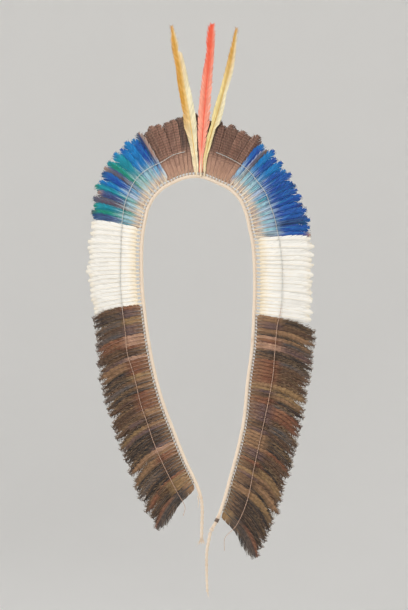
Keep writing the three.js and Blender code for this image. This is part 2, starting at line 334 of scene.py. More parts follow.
def add_tube(
    mould: Mould,
    line: Array,
    radius: Union[float, Array],
    sides: int,
    colour: Array,
    seed: float = 0.0,
    finish: int = 0,
    relief: Optional[Callable[[Array, Array], Array]] = None,
) -> None:
    """Adds a closed tube along a line.

    Args:
        mould: What the tube is added to.
        line: The points of its centreline, in metres.
        radius: The radius in metres, one or one for each point.
        sides: How many sides it has.
        colour: One colour, or one for each point of the line.
        seed: The seed of its pattern.
        finish: The index of its material.
        relief: Gives a factor on the radius from the distance walked and the angle round.
    """
    n = len(line)
    ahead = np.gradient(line, axis=0)
    ahead /= np.linalg.norm(ahead, axis=1, keepdims=True)
    start = np.array([0.0, 1.0, 0.0]) if abs(ahead[0][1]) < 0.9 else np.array([1.0, 0.0, 0.0])
    normals = np.zeros_like(line)
    normals[0] = start - ahead[0] * start.dot(ahead[0])
    for i in range(1, n):
        normals[i] = normals[i - 1] - ahead[i] * normals[i - 1].dot(ahead[i])
        normals[i] /= np.linalg.norm(normals[i])
    normals[0] /= np.linalg.norm(normals[0])
    sideways = np.cross(ahead, normals)
    walked = np.concatenate([[0], np.cumsum(np.linalg.norm(np.diff(line, axis=0), axis=1))])
    angle = np.linspace(0, 2 * math.pi, sides, endpoint=False)
    reach = np.broadcast_to(np.asarray(radius, float).reshape(-1, 1), (n, sides)).copy()
    if relief is not None:
        reach *= relief(walked[:, None], angle[None, :])
    round_about = (
        np.cos(angle)[None, :, None] * normals[:, None, :]
        + np.sin(angle)[None, :, None] * sideways[:, None, :]
    )
    ring = line[:, None, :] + reach[:, :, None] * round_about
    places = np.vstack([ring.reshape(-1, 3), line[0] - ahead[0] * reach[0].mean() * 0.3,
                        line[-1] + ahead[-1] * reach[-1].mean() * 0.3])
    faces: List[Tuple[int, ...]] = []
    for i in range(n - 1):
        for j in range(sides):
            k = (j + 1) % sides
            faces.append((i * sides + j, i * sides + k, (i + 1) * sides + k, (i + 1) * sides + j))
    last = (n - 1) * sides
    for j in range(sides):
        k = (j + 1) % sides
        faces.append((n * sides, k, j))
        faces.append((n * sides + 1, last + j, last + k))
    tone = np.asarray(colour, float)
    if tone.ndim == 2:
        tone = np.vstack([np.repeat(tone, sides, axis=0), tone[0], tone[-1]])
    along = np.concatenate([np.repeat(walked, sides), [walked[0], walked[-1]]]) / MM
    round_mm = np.concatenate([(angle[None, :] * reach).ravel(), [0, 0]]) / MM
    mould.add(places, faces, tone, np.stack([along, round_mm], axis=1), seed, finish)


# --------------------------------------------------------------------------- blender helpers


def choose(*pieces: bpy.types.Object) -> None:
    """Selects just these objects, the first of them active."""
    bpy.ops.object.select_all(action="DESELECT")
    for piece in pieces:
        piece.select_set(True)
    bpy.context.view_layer.objects.active = pieces[0]


def welded(piece: bpy.types.Object, reach: float = 0.00001) -> bpy.types.Object:
    """Merges the points of a piece that lie on each other."""
    choose(piece)
    bpy.ops.object.mode_set(mode="EDIT")
    bpy.ops.mesh.select_all(action="SELECT")
    bpy.ops.mesh.remove_doubles(threshold=reach)
    bpy.ops.object.mode_set(mode="OBJECT")
    return piece


def thickened(piece: bpy.types.Object, thickness: float) -> bpy.types.Object:
    """Gives a sheet its thickness, with the next finish on its back."""
    choose(piece)
    wall = piece.modifiers.new("wall", "SOLIDIFY")
    wall.thickness = thickness
    wall.offset = -1
    wall.material_offset = 1
    bpy.ops.object.modifier_apply(modifier=wall.name)
    return piece


def joined(name: str, *pieces: bpy.types.Object) -> bpy.types.Object:
    """Joins objects into the first of them, under a new name."""
    choose(*pieces)
    bpy.ops.object.join()
    whole = bpy.context.view_layer.objects.active
    whole.name = name
    whole.data.name = name
    return whole


def smoothed(piece: bpy.types.Object, degrees: float) -> bpy.types.Object:
    """Shades a piece smooth, apart from edges sharper than the angle."""
    choose(piece)
    bpy.ops.object.shade_smooth_by_angle(angle=math.radians(degrees))
    return piece


def placed(piece: bpy.types.Object, slot: str, *nodes: str) -> bpy.types.Object:
    """Ties a finished piece to the frame.

    Args:
        piece: The piece.
        slot: The record's slot for its finish; it is not used.
        nodes: The nodes that it stands for.

    Returns:
        The piece.
    """
    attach(piece, BODY)
    if nodes:
        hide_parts(*nodes)
    log.info("%s: %d faces, for %s", piece.name, len(piece.data.polygons), ", ".join(nodes) or "-")
    return piece


# --------------------------------------------------------------------------- materials


class Wire:
    """One output of a node tree, used in plain arithmetic."""

    def __init__(self, graph: "Graph", socket: Optional[bpy.types.NodeSocket]) -> None:
        """Keeps the socket, if the node has one, and the graph that it belongs to."""
        self.graph = graph
        self.socket = socket

    def __add__(self, other: "Value") -> "Wire":
        """The sum of two values."""
        return self.graph.math("ADD", self, other)

    __radd__ = __add__

    def __sub__(self, other: "Value") -> "Wire":
        """This value less the other."""
        return self.graph.math("SUBTRACT", self, other)

    def __rsub__(self, other: "Value") -> "Wire":
        """The other value less this one."""
        return self.graph.math("SUBTRACT", other, self)

    def __mul__(self, other: "Value") -> "Wire":
        """The product of two values."""
        return self.graph.math("MULTIPLY", self, other)

    __rmul__ = __mul__

    def __truediv__(self, other: "Value") -> "Wire":
        """This value divided by the other."""
        return self.graph.math("DIVIDE", self, other)

    def __rtruediv__(self, other: "Value") -> "Wire":
        """The other value divided by this one."""
        return self.graph.math("DIVIDE", other, self)

    def __pow__(self, other: "Value") -> "Wire":
        """This value raised to a power."""
        return self.graph.math("POWER", self, other)

    def __neg__(self) -> "Wire":
        """The value with its sign turned."""
        return self.graph.math("MULTIPLY", self, -1.0)


Value = Union[Wire, float]


class Graph:
    """The node tree of one material."""

    def __init__(self, name: str) -> None:
        """Starts a material with an empty node tree."""
        self.material = bpy.data.materials.new(name)
        self.material.use_nodes = True
        self.tree = self.material.node_tree
        self.tree.nodes.clear()

    def node(
        self,
        kind: str,
        settings: Optional[Dict[str, object]] = None,
        sockets: Optional[Dict[Union[int, str], object]] = None,
        out: Union[int, str] = 0,
    ) -> Wire:
        """Adds one node.

        Args:
            kind: The node's type, without its ShaderNode prefix.
            settings: Its settings, a ramp's stops among them, set first.
            sockets: The values or wires of its inputs, by name or place.
            out: The output that is wanted.

        Returns:
            That output as a wire.
        """
        made = self.tree.nodes.new("ShaderNode" + kind)
        for name, value in (settings or {}).items():
            if name == "stops":
                self._set_stops(made.color_ramp, value)
            else:
                setattr(made, name, value)
        for name, value in (sockets or {}).items():
            if isinstance(value, Wire):
                self.tree.links.new(value.socket, made.inputs[name])
            else:
                made.inputs[name].default_value = value
        return Wire(self, made.outputs[out] if made.outputs else None)

    @staticmethod
    def _set_stops(band: bpy.types.ColorRamp, stops: Sequence[Tuple[float, float]]) -> None:
        """Sets a ramp's stops from pairs of place and grey value."""
        while len(band.elements) < len(stops):
            band.elements.new(0.5)
        for element, (place, grey) in zip(band.elements, stops):
            element.position = place
            element.color = (grey, grey, grey, 1)

    def math(self, operation: str, *values: Value) -> Wire:
        """A Math node on up to three values."""
        return self.node("Math", {"operation": operation}, dict(enumerate(values)))

    def clamp(self, value: Value) -> Wire:
        """The value kept between 0 and 1."""
        return self.node("Math", {"operation": "ADD", "use_clamp": True}, {0: value, 1: 0.0})

    def step(self, value: Value, low: float, high: float) -> Wire:
        """A smooth step of a value from 0 at low to 1 at high."""
        return self.node(
            "MapRange",
            {"interpolation_type": "SMOOTHSTEP"},
            {"Value": value, "From Min": low, "From Max": high},
        )

    def tint(self, share: Value, a: object, b: object, mode: str = "MIX") -> Wire:
        """A colour mixed from a to b by a share."""
        settings = {"data_type": "RGBA", "blend_type": mode, "clamp_factor": True}
        solid = [v if isinstance(v, Wire) else (*v, 1.0) for v in (a, b)]
        return self.node("Mix", settings, {0: share, 6: solid[0], 7: solid[1]}, 2)

    def shade(self, colour: Wire, factor: Value) -> Wire:
        """A colour made lighter or darker by a factor."""
        return self.node("VectorMath", {"operation": "SCALE"}, {0: colour, 3: factor})

    def vector(self, x: Value, y: Value, z: Value = 0.0) -> Wire:
        """A vector from three values."""
        return self.node("CombineXYZ", None, {0: x, 1: y, 2: z})

    def noise(self, place: Wire, scale: float, detail: float = 2.0, rough: float = 0.5) -> Wire:
        """Noise from 0 to 1 at a place."""
        sockets = {"Vector": place, "Scale": scale, "Detail": detail, "Roughness": rough}
        return self.node("TexNoise", None, sockets)

    def axes(self, vector: Wire) -> Tuple[Wire, Wire, Wire]:
        """The three parts of a vector."""
        split = self.node("SeparateXYZ", None, {0: vector})
        outputs = split.socket.node.outputs
        return split, Wire(self, outputs[1]), Wire(self, outputs[2])

    def finish(self, sockets: Dict[str, object]) -> bpy.types.Material:
        """Adds the surface shader and ends the material.

        Args:
            sockets: The values or wires of the surface shader's inputs.

        Returns:
            The material.
        """
        shader = self.node("BsdfPrincipled", None, sockets)
        self.node("OutputMaterial", None, {"Surface": shader})
        return self.material


@dataclass(frozen=True)
class VaneFinish:
    """The web of a feather: barbs side by side, streaked, a little glossy.

    Attributes:
        name: The material's name.
        streak: How much neighbouring barbs differ in tone.
        mottle: How strong the cross bars and mottling are.
        bar_pitch: The distance between cross bars, in millimetres.
        bars_from: How far out the bars start, in millimetres.
        fade: How much paler the web gets in worn patches.
        gloss: The mean roughness.
        sheen: The strength of the soft sheen.
        worn: The colour of worn patches.
        accent: The colour of fine streaks along the web.
        accent_share: How strong those streaks are.
        pale_to: How far out pale streaks show, in millimetres.
        under: The colour that the back of the web tends to.
        dulled: How far it tends to it.
    """

    name: str
    streak: float
    mottle: float
    bar_pitch: float
    bars_from: float
    fade: float
    gloss: float
    sheen: float
    worn: Colour
    accent: Colour
    accent_share: float
    pale_to: float = 0.0
    under: Colour = linear(120, 112, 104)
    dulled: float = 0.35

    BARB = 0.62
    LEAN = 1.4
    PALE = linear(206, 216, 220)

    def make(self, underside: bool = False) -> bpy.types.Material:
        """Makes the material.

        Args:
            underside: Whether it is for the back of the web, which is duller.

        Returns:
            The material.
        """
        g = Graph(self.name + ("_underside" if underside else ""))
        base = g.node("Attribute", {"attribute_name": "plume"})
        if underside:
            base = g.tint(self.dulled, base, self.under)
        seed = g.node("Attribute", {"attribute_name": "seed"}, None, "Fac")
        along, across, _ = g.axes(g.node("UVMap", {"uv_map": "pattern"}))
        own = seed * 37.0
        barbs = g.noise(g.vector(along * 0.9, across * 0.05, own), 1.0, 3.0, 0.7)
        groups = g.noise(g.vector(along * 0.16, across * 0.04, own + 5.0), 1.0, 2.0, 0.6)
        length_ways = g.noise(g.vector(along * 0.02, across * 0.55, own + 9.0), 1.0, 2.0, 0.6)
        tone = 1.0 + self.streak * ((barbs - 0.5) * 1.2 + (groups - 0.5) * 1.5)
        tone = tone + self.streak * (length_ways - 0.5) * 1.2
        colour = g.shade(base, tone)
        fine = g.noise(g.vector(along * 0.03, across * 1.5, own + 21.0), 1.0, 2.0, 0.6)
        colour = g.tint(g.step(fine, 0.5, 0.66) * self.accent_share, colour, self.accent)
        if self.pale_to:
            near = 1.0 - g.step(along, self.pale_to * 0.6, self.pale_to)
            pale = g.step(fine * 0.5 + length_ways * 0.5, 0.47, 0.58)
            colour = g.tint(pale * near * 0.62, colour, self.PALE)
        wobble = g.noise(g.vector(along * 0.09, across * 0.22, own + 2.0), 1.0, 3.0, 0.65)
        clouds = g.noise(g.vector(along * 0.12, across * 0.12, own + 14.0), 1.0, 3.0, 0.7)
        axial = along + g.math("ABSOLUTE", across) * self.LEAN
        wave = g.math("SINE", (axial + wobble * 4.5) * (2 * math.pi / self.bar_pitch))
        bars = g.step(wave * 0.34 + (barbs - 0.5) * 0.9 + clouds, 0.42, 0.86)
        outer = g.step(axial, self.bars_from, self.bars_from + 16.0)
        colour = g.tint(bars * outer * self.mottle, colour, g.shade(colour, 0.36))
        patches = g.step(groups * 0.6 + length_ways * 0.5, 0.5, 0.72)
        colour = g.tint(patches * self.fade, colour, self.worn)
        ridge = g.math("SINE", along * (2 * math.pi / self.BARB))
        height = ridge * 0.5 + (barbs - 0.5) * 1.6 + (groups - 0.5) * 2.0
        bump = g.node("Bump", None, {"Strength": 0.55, "Distance": 0.00022, "Height": height})
        rough = self.gloss + (barbs - 0.5) * 0.22 + bars * 0.04
        return g.finish(
            {
                "Base Color": colour,
                "Roughness": g.clamp(rough),
                "Normal": bump,
                "Sheen Weight": self.sheen,
                "Sheen Roughness": 0.4,
                "Specular IOR Level": 0.35,
            }
        )


@dataclass(frozen=True)
class QuillFinish:
    """The horn of a quill: smooth, faintly ringed and lined along its length."""

    name: str = "quill_horn"

    def make(self) -> bpy.types.Material:
        """Makes the material."""
        g = Graph(self.name)
        base = g.node("Attribute", {"attribute_name": "plume"})
        seed = g.node("Attribute", {"attribute_name": "seed"}, None, "Fac")
        along, across, _ = g.axes(g.node("UVMap", {"uv_map": "pattern"}))
        fibres = g.noise(g.vector(along * 0.08, across * 1.8, seed * 31.0), 1.0, 2.0)
        clouds = g.noise(g.vector(along * 0.12, across * 0.3, seed * 17.0), 1.0, 2.0)
        colour = g.shade(base, 0.82 + fibres * 0.18 + clouds * 0.22)
        bump = g.node("Bump", None, {"Strength": 0.3, "Distance": 0.0001, "Height": fibres})
        rough = 0.3 + clouds * 0.25
        return g.finish(
            {"Base Color": colour, "Roughness": rough, "Normal": bump, "Subsurface Weight": 0.0}
        )


@dataclass(frozen=True)
class CottonFinish:
    """Spun cotton: fibres along the lay, painted shade in the grooves between turns, soiled in places, a
    fuzzy sheen.

    Attributes:
        name: The material's name.
        pitch: The distance between turns of the spun yarn, in millimetres.
        slope: How far the yarn turns lean along the cord for each millimetre round.
        soil: The colour of handled places.
        depth: The depth of the yarn relief, in metres.
    """

    name: str
    pitch: float
    slope: float
    soil: Colour
    depth: float

    def make(self) -> bpy.types.Material:
        """Makes the material."""
        g = Graph(self.name)
        base = g.node("Attribute", {"attribute_name": "plume"})
        seed = g.node("Attribute", {"attribute_name": "seed"}, None, "Fac")
        along, across, _ = g.axes(g.node("UVMap", {"uv_map": "pattern"}))
        place = g.node("TexCoord", None, None, "Object")
        lean = along + across * self.slope
        yarn = g.math("SINE", lean * (2 * math.pi / self.pitch))
        fibre = g.noise(g.vector(lean * 2.2, across * 0.5, seed * 11.0), 1.0, 3.0, 0.7)
        handled = g.noise(place, 26.0, 4.0, 0.6)
        fuzz = g.noise(place, 2600.0, 2.0, 0.6)
        colour = g.shade(base, 0.86 + fibre * 0.22)
        # Painted shade: the grooves between the turns of the yarn are darkened.
        groove_shade = g.step(yarn, 0.2, -0.9)
        colour = g.tint(groove_shade * 0.3, colour, g.shade(base, 0.55))
        colour = g.tint(g.step(handled, 0.52, 0.72) * 0.45, colour, self.soil)
        height = yarn * 0.6 + fibre * 0.8 + fuzz * 0.35
        sockets = {"Strength": 0.7, "Distance": self.depth, "Height": height}
        bump = g.node("Bump", None, sockets)
        return g.finish(
            {
                "Base Color": colour,
                "Roughness": 0.82 + (fibre - 0.5) * 0.16,
                "Normal": bump,
                "Sheen Weight": 0.35,
                "Sheen Roughness": 0.6,
                "Specular IOR Level": 0.2,
            }
        )


@dataclass(frozen=True)
class BackdropFinish:
    """A plain pale studio surface."""

    name: str = "studio_paper"

    def make(self) -> bpy.types.Material:
        """Makes the material."""
        g = Graph(self.name)
        place = g.node("TexCoord", None, None, "Object")
        grain = g.noise(place, 3.0, 3.0)
        colour = g.tint(grain * 0.5, linear(243, 242, 240), linear(247, 246, 244))
        return g.finish({"Base Color": colour, "Roughness": 0.9, "Specular IOR Level": 0.1})


class Finishes:
    """Every finish of the headdress, made once."""

    def __init__(self) -> None:
        """Makes the materials."""
        charcoal = linear(60, 58, 60)
        vanes = {
            Kind.CROWN: VaneFinish(
                "crown_vane", 0.4, 0.75, 4.6, 26.0, 0.2, 0.6, 0.1,
                linear(176, 146, 128), linear(146, 106, 88), 0.35,
            ),
            Kind.BLUE: VaneFinish(
                "blue_vane", 0.7, 0.05, 9.0, 0.0, 0.16, 0.5, 0.0,
                linear(60, 150, 178), linear(40, 168, 190), 0.34, 58.0, charcoal, 0.62,
            ),
            Kind.WHITE: VaneFinish(
                "white_vane", 0.14, 0.0, 9.0, 0.0, 0.14, 0.62, 0.1,
                linear(226, 214, 192), linear(234, 226, 214), 0.3, 0.0,
                linear(226, 218, 202), 0.3,
            ),
            Kind.BROWN: VaneFinish(
                "brown_vane", 0.95, 0.35, 8.0, 20.0, 0.24, 0.55, 0.05,
                linear(146, 118, 90), linear(150, 112, 76), 0.5,
            ),
        }
        yellow = VaneFinish(
            "yellow_vane", 0.4, 0.05, 11.0, 0.0, 0.12, 0.55, 0.06,
            linear(240, 228, 196), linear(196, 150, 66), 0.3,
        )
        coral = VaneFinish(
            "coral_vane", 0.35, 0.03, 11.0, 0.0, 0.14, 0.55, 0.06,
            linear(244, 176, 150), linear(226, 88, 52), 0.25, 0.0, linear(226, 150, 110), 0.4,
        )
        self.vanes = {kind: self.both_sides(vane) for kind, vane in vanes.items()}
        self.yellow_vane = self.both_sides(yellow)
        self.coral_vane = self.both_sides(coral)
        self.quill = QuillFinish().make()
        soil = linear(206, 176, 146)
        self.cotton = CottonFinish("cotton_cord", 1.15, 0.22, soil, 0.0004).make()
        self.twist = CottonFinish("twisted_cotton", 0.9, 0.9, soil, 0.0003).make()
        self.thread = CottonFinish("fine_thread", 0.8, 0.9, linear(170, 150, 130), 0.0001).make()

    @staticmethod
    def both_sides(vane: VaneFinish) -> List[bpy.types.Material]:
        """The materials of the front and the back of a web."""
        return [vane.make(), vane.make(underside=True)]


# --------------------------------------------------------------------------- feathers


class Spine:
    """The curved line of one quill, with its frame at every share of the length."""

    STATIONS = 41

    def __init__(
        self,
        foot: Array,
        side: Side,
        rise: float,
        droop: float,
        length: float,
        curl: float,
        kink: Tuple[float, float] = (0.15, 0.85),
    ) -> None:
        """Lays the line out.

        Args:
            foot: Where the quill starts, in metres.
            side: The side of the loop that it points away from.
            rise: Its angle above the horizontal at the foot, in degrees.
            droop: How far it bends down to the tip, in degrees.
            length: Its length in metres.
            curl: How far the tip bends back, in metres.
            kink: The shares between which it bends down.
        """
        self.length = length
        self.shares = np.linspace(0, 1, self.STATIONS)
        angle = np.radians(rise - droop * ramp(self.shares, *kink))
        flat = np.zeros_like(angle)
        self.ahead = np.stack([side.value * np.cos(angle), flat, np.sin(angle)], axis=1)
        mean = (self.ahead[1:] + self.ahead[:-1]) / 2
        walked = np.vstack([np.zeros(3), np.cumsum(mean * length / (self.STATIONS - 1), axis=0)])
        self.centre = foot + walked
        self.centre[:, 1] += curl * self.shares**2
        self.hand = side.value

    @classmethod
    def through(cls, places: Array, curl: float) -> "Spine":
        """A spine through given places.

        Args:
            places: The places from the foot to the tip, in metres.
            curl: How far the tip bends back, in metres.

        Returns:
            The spine, whose crown side is its left.
        """
        made = cls(np.zeros(3), Side.RIGHT, 90, 0, 1, 0)
        steps = np.linalg.norm(np.diff(places, axis=0), axis=1)
        walked = np.concatenate([[0], np.cumsum(steps)])
        made.length = float(walked[-1])
        reach = made.shares * made.length
        blur = np.array([1, 2, 3, 2, 1]) / 9
        for i in range(3):
            rough = np.interp(reach, walked, places[:, i])
            edged = np.pad(rough, 2, mode="reflect", reflect_type="odd")
            made.centre[:, i] = np.convolve(edged, blur, mode="valid")
        flat = np.gradient(made.centre, axis=0)
        flat[:, 1] = 0
        made.ahead = flat / np.linalg.norm(flat, axis=1, keepdims=True)
        made.centre[:, 1] += curl * made.shares**2
        return made

    def at(self, share: Array) -> Tuple[Array, Array]:
        """The places and the sideways directions, towards the crown, at shares of the length."""
        centre = np.stack([np.interp(share, self.shares, self.centre[:, i]) for i in range(3)], -1)
        ahead = np.stack([np.interp(share, self.shares, self.ahead[:, i]) for i in range(3)], -1)
        across = np.stack([-ahead[..., 2], np.zeros_like(ahead[..., 0]), ahead[..., 0]], -1)
        return centre, across * self.hand


@dataclass(frozen=True)
class Web:
    """One of the two webs of a feather.

    Attributes:
        hand: 1 for the web on the crown side of the quill, -1 for the other.
        width: The full width, in metres.
        bare: The share of the quill below the web.
        flare: The share over which the web reaches its width.
        shoulder: The share where the rounded tip begins.
        point: How pointed the tip is, from 1 for a cone to 2.4 for a blunt round.
        sweep: How far a barb runs forward for each unit outwards.
        rows: The number of barb rows.
        ragged: How frayed the edge is, from 0 to 1.
        lock: The least and the greatest number of rows in a lock.
        split: The share of the web's width, from the quill, that never parts.
        camber: How far the edge bends back, in metres.
    """

    hand: int
    width: float
    bare: float = 0.05
    flare: float = 0.07
    shoulder: float = 0.8
    point: float = 2.0
    sweep: float = 1.15
    rows: int = 24
    ragged: float = 0.3
    lock: Tuple[int, int] = (2, 4)
    split: float = 0.45
    camber: float = 0.0006
    outline: Optional[Callable[[Array], Array]] = None

    COLUMNS = (0.0, 0.28, 0.55, 0.8, 1.0)

    def half_width(self, share: Array) -> Array:
        """The width of the web at shares of the length, in metres."""
        if self.outline is not None:
            return self.outline(share)
        start = 0.35 + 0.65 * ramp(share, self.bare - 0.01, self.bare + self.flare)
        body = 0.8 + 0.2 * ramp(share, 0.25, 0.75)
        rest = np.clip((share - self.shoulder) / (1 - self.shoulder), 0, 1)
        tip = (1 - rest**self.point) ** (1 / min(self.point, 1.8))
        return self.width * start * body * tip

    def barbs(self, spine: Spine, last: float = 0.985) -> Tuple[Array, Array, Array]:
        """Where the barb rows start and end.

        Args:
            spine: The quill.
            last: The share where the last barb starts.

        Returns:
            The shares where the barbs leave the quill, the shares where they end, and how far
            out they end, in metres.
        """
        x = np.linspace(0, 1, self.rows + 1)
        roots = self.bare + (last - self.bare) * (1 - (1 - x) ** 1.2)
        low, high = roots.copy(), np.ones_like(roots)
        square = 0.12 + 0.88 * ramp(roots, self.bare, self.bare + 0.3)
        forward = self.sweep * square * (1 + 0.5 * roots)
        for _ in range(24):
            middle = (low + high) / 2
            short = (middle - roots) * spine.length < forward * self.half_width(middle)
            low, high = np.where(short, middle, low), np.where(short, high, middle)
        ends = (low + high) / 2
        return roots, ends, self.half_width(ends)


PaintJob = Callable[[Array, Array], Array]


def add_web(
    mould: Mould,
    spine: Spine,
    web: Web,
    tilt: float,
    paint: PaintJob,
    seed: float,
    dice: np.random.Generator,
) -> None:
    """Adds one web of a feather as locks of barbs that part towards the edge.

    Args:
        mould: What the web is added to.
        spine: The quill.
        web: The web's form.
        tilt: How far the crown edge is turned to the front, in degrees.
        paint: Gives colours from the share along the feather and the share across, -1 to 1.
        seed: The seed of the pattern.
        dice: The random source.
    """
    roots, ends, widths = web.barbs(spine)
    columns = np.array(web.COLUMNS)
    lean = math.radians(tilt)
    run = (ends - roots) * spine.length
    slant = np.hypot(run, widths)
    row = 0
    while row < web.rows:
        rows = int(min(dice.integers(web.lock[0], web.lock[1] + 1), web.rows - row))
        if web.rows - row - rows == 1:
            rows += 1
        k = np.arange(row, row + rows + 1)
        row += rows
        inside = np.linspace(0, 1, rows + 1)[:, None]
        q = columns[None, :]
        open_ = np.clip((q - web.split) / (1 - web.split), 0, 1) ** 1.25
        middle = k[len(k) // 2]
        ahead, aside = run[middle] / slant[middle], widths[middle] / slant[middle]
        extent = (ends[k[-1]] - ends[k[0]]) * spine.length * aside
        extent += (widths[k[0]] - widths[k[-1]]) * ahead
        near_tip = 1 + 0.8 * float(ramp(roots[middle], 0.6, 0.9))
        gap = web.ragged * near_tip * dice.uniform(0.1, 1.0) ** 1.3 * 3.4 * MM
        gap = min(gap, 0.82 * max(extent, 0.0))
        worn = web.ragged * near_tip * dice.uniform(0.0, 0.13)
        tooth = web.ragged * 0.14 * np.abs(2 * inside - 1) ** 1.5
        reach = q * (1 - (worn + tooth) * open_)
        forward = reach * (0.8 + 0.2 * reach)
        share = roots[k][:, None] + (ends - roots)[k][:, None] * forward
        parted = gap * (0.5 - inside) * open_
        share = share + parted * aside / spine.length
        out = widths[k][:, None] * reach - parted * ahead
        centre, across = spine.at(share)
        lift = dice.uniform(-0.2, 0.3) * MM * open_
        turn = lean * (0.5 + 0.5 * ramp(share, 0.1, 0.5))
        places = centre + across * (web.hand * out * np.cos(turn))[..., None]
        places[..., 1] -= web.hand * out * np.sin(turn)
        places[..., 1] += web.camber * (out / web.width) ** 2 - lift
        tone = 1 + dice.uniform(-0.14, 0.14) * open_
        colours = paint(share, web.hand * reach) * tone[..., None]
        barb = (roots[k][:, None] + 0 * q) * spine.length / MM
        pattern = np.stack([barb, web.hand * out / MM], axis=-1)
        turned = (web.hand * spine.hand) > 0
        mould.add(
            places.reshape(-1, 3),
            grid_faces(rows + 1, len(columns), turned),
            colours.reshape(-1, 3),
            pattern.reshape(-1, 2),
            seed,
        )


@dataclass(frozen=True)
class Wisps:
    """Loose barbs along the edge of a web.

    Attributes:
        count: How many there are.
        length: Their least and greatest length, in millimetres.
        width: Their least and greatest width at the root, in millimetres.
        down_to: How far from the tip they reach, as a share of the web.
    """

    count: int
    length: Tuple[float, float] = (1.6, 4.2)
    width: Tuple[float, float] = (0.16, 0.3)
    down_to: float = 0.62


def add_wisps(
    mould: Mould,
    spine: Spine,
    web: Web,
    tilt: float,
    paint: PaintJob,
    seed: float,
    dice: np.random.Generator,
    wisps: "Wisps",
) -> None:
    """Adds single barbs that stand out from the edge of a web, each a thin tapered strip.

    Args:
        mould: What they are added to.
        spine: The quill.
        web: The web.
        tilt: How far the crown edge is turned to the front, in degrees.
        paint: Gives the colours.
        seed: The seed of the pattern.
        dice: The random source.
        wisps: How many there are and their size.
    """
    roots, ends, widths = web.barbs(spine)
    lean = math.radians(tilt)
    steps = np.array([0.0, 0.35, 0.7, 1.0])[:, None]
    sides = np.array([-1.0, 1.0])[None, :]
    for _ in range(wisps.count):
        k = int(len(roots) * (1 - dice.uniform(0, wisps.down_to) ** 1.4)) - 1
        long = dice.uniform(*wisps.length) * MM
        thick = dice.uniform(*wisps.width) * MM * (1 - 0.85 * steps)
        bend = dice.uniform(-0.35, 0.45)
        share = ends[k] - 0.8 * MM / spine.length + steps * long * 0.86 / spine.length
        share = share + sides * thick * 0.5 / spine.length
        out = widths[k] * 0.93 + long * 0.5 * steps * (1 + bend * steps) - sides * thick
        centre, across = spine.at(share)
        places = centre + across * (web.hand * out * math.cos(lean))[..., None]
        places[..., 1] -= web.hand * out * math.sin(lean) - web.camber - dice.uniform(-0.3, 0.3) * MM
        colours = paint(np.clip(share, 0, 1), np.full_like(share, web.hand * 0.9))
        pattern = np.stack([share * spine.length / MM, out / MM], axis=-1)
        mould.add(
            places.reshape(-1, 3),
            grid_faces(4, 2, web.hand * spine.hand > 0),
            colours.reshape(-1, 3) * dice.uniform(0.7, 1.05),
            pattern.reshape(-1, 2),
            seed,
        )


def add_ring(
    mould: Mould,
    centre: Array,
    axes: Tuple[Array, Array],
    radii: Tuple[float, float],
    thickness: float,
    turns: float,
    pitch: Array,
    colour: Colour,
    finish: int,
) -> None:
    """Adds turns of thread wound round something.

    Args:
        mould: What they are added to.
        centre: The middle of the winding.
        axes: The two directions across it.
        radii: The radii of the winding in those directions.
        thickness: The radius of the thread.
        turns: The number of turns.
        pitch: How far one turn moves on.
        colour: The thread's colour.
        finish: The index of its material.
    """
    steps = round(8 * turns) + 1
    turn = np.linspace(0, turns, steps)[:, None]
    line = centre + pitch * (turn - turns / 2)
    line = line + axes[0] * radii[0] * np.cos(2 * math.pi * turn)
    line = line + axes[1] * radii[1] * np.sin(2 * math.pi * turn)
    add_tube(mould, line, thickness, 4, colour, 0.3, finish)


def add_quill(
    mould: Mould,
    spine: Spine,
    butt: float,
    tip: float,
    lead_in: float,
    colours: Tuple[Colour, Colour],
    seed: float,
    turn: Tuple[float, float] = (0.07, 0.5),
    end: float = 0.965,
    sides: int = 6,
) -> None:
    """Adds the quill of a feather, proud of its webs.

    Args:
        mould: What the quill is added to.
        spine: Its line.
        butt: Its radius at the foot, in metres.
        tip: Its radius at the tip, in metres.
        lead_in: How far it starts before the foot, in metres.
        colours: Its colours at the foot and at the tip.
        seed: The seed of the pattern.
        turn: The shares between which the colour changes.
        end: The share where it ends.
        sides: How many sides it has.
    """
    share = np.array([0, 0.05, 0.12, 0.2, 0.32, 0.45, 0.58, 0.7, 0.82, 0.92, 1]) * end
    line, _ = spine.at(share)
    start = line[0] - (line[1] - line[0]) / np.linalg.norm(line[1] - line[0]) * lead_in
    line = np.vstack([start, line])
    share = np.concatenate([[0], share])
    radius = butt + (tip - butt) * (0.45 * ramp(share, 0.08, 0.22) + 0.55 * ramp(share, 0.1, 1.0))
    line[:, 1] += radius * (0.55 * ramp(share, 0.04, 0.15) - 0.1)
    colour = mix(colours[0], colours[1], ramp(share, *turn))
    add_tube(mould, line, radius, sides, colour, seed, 2)


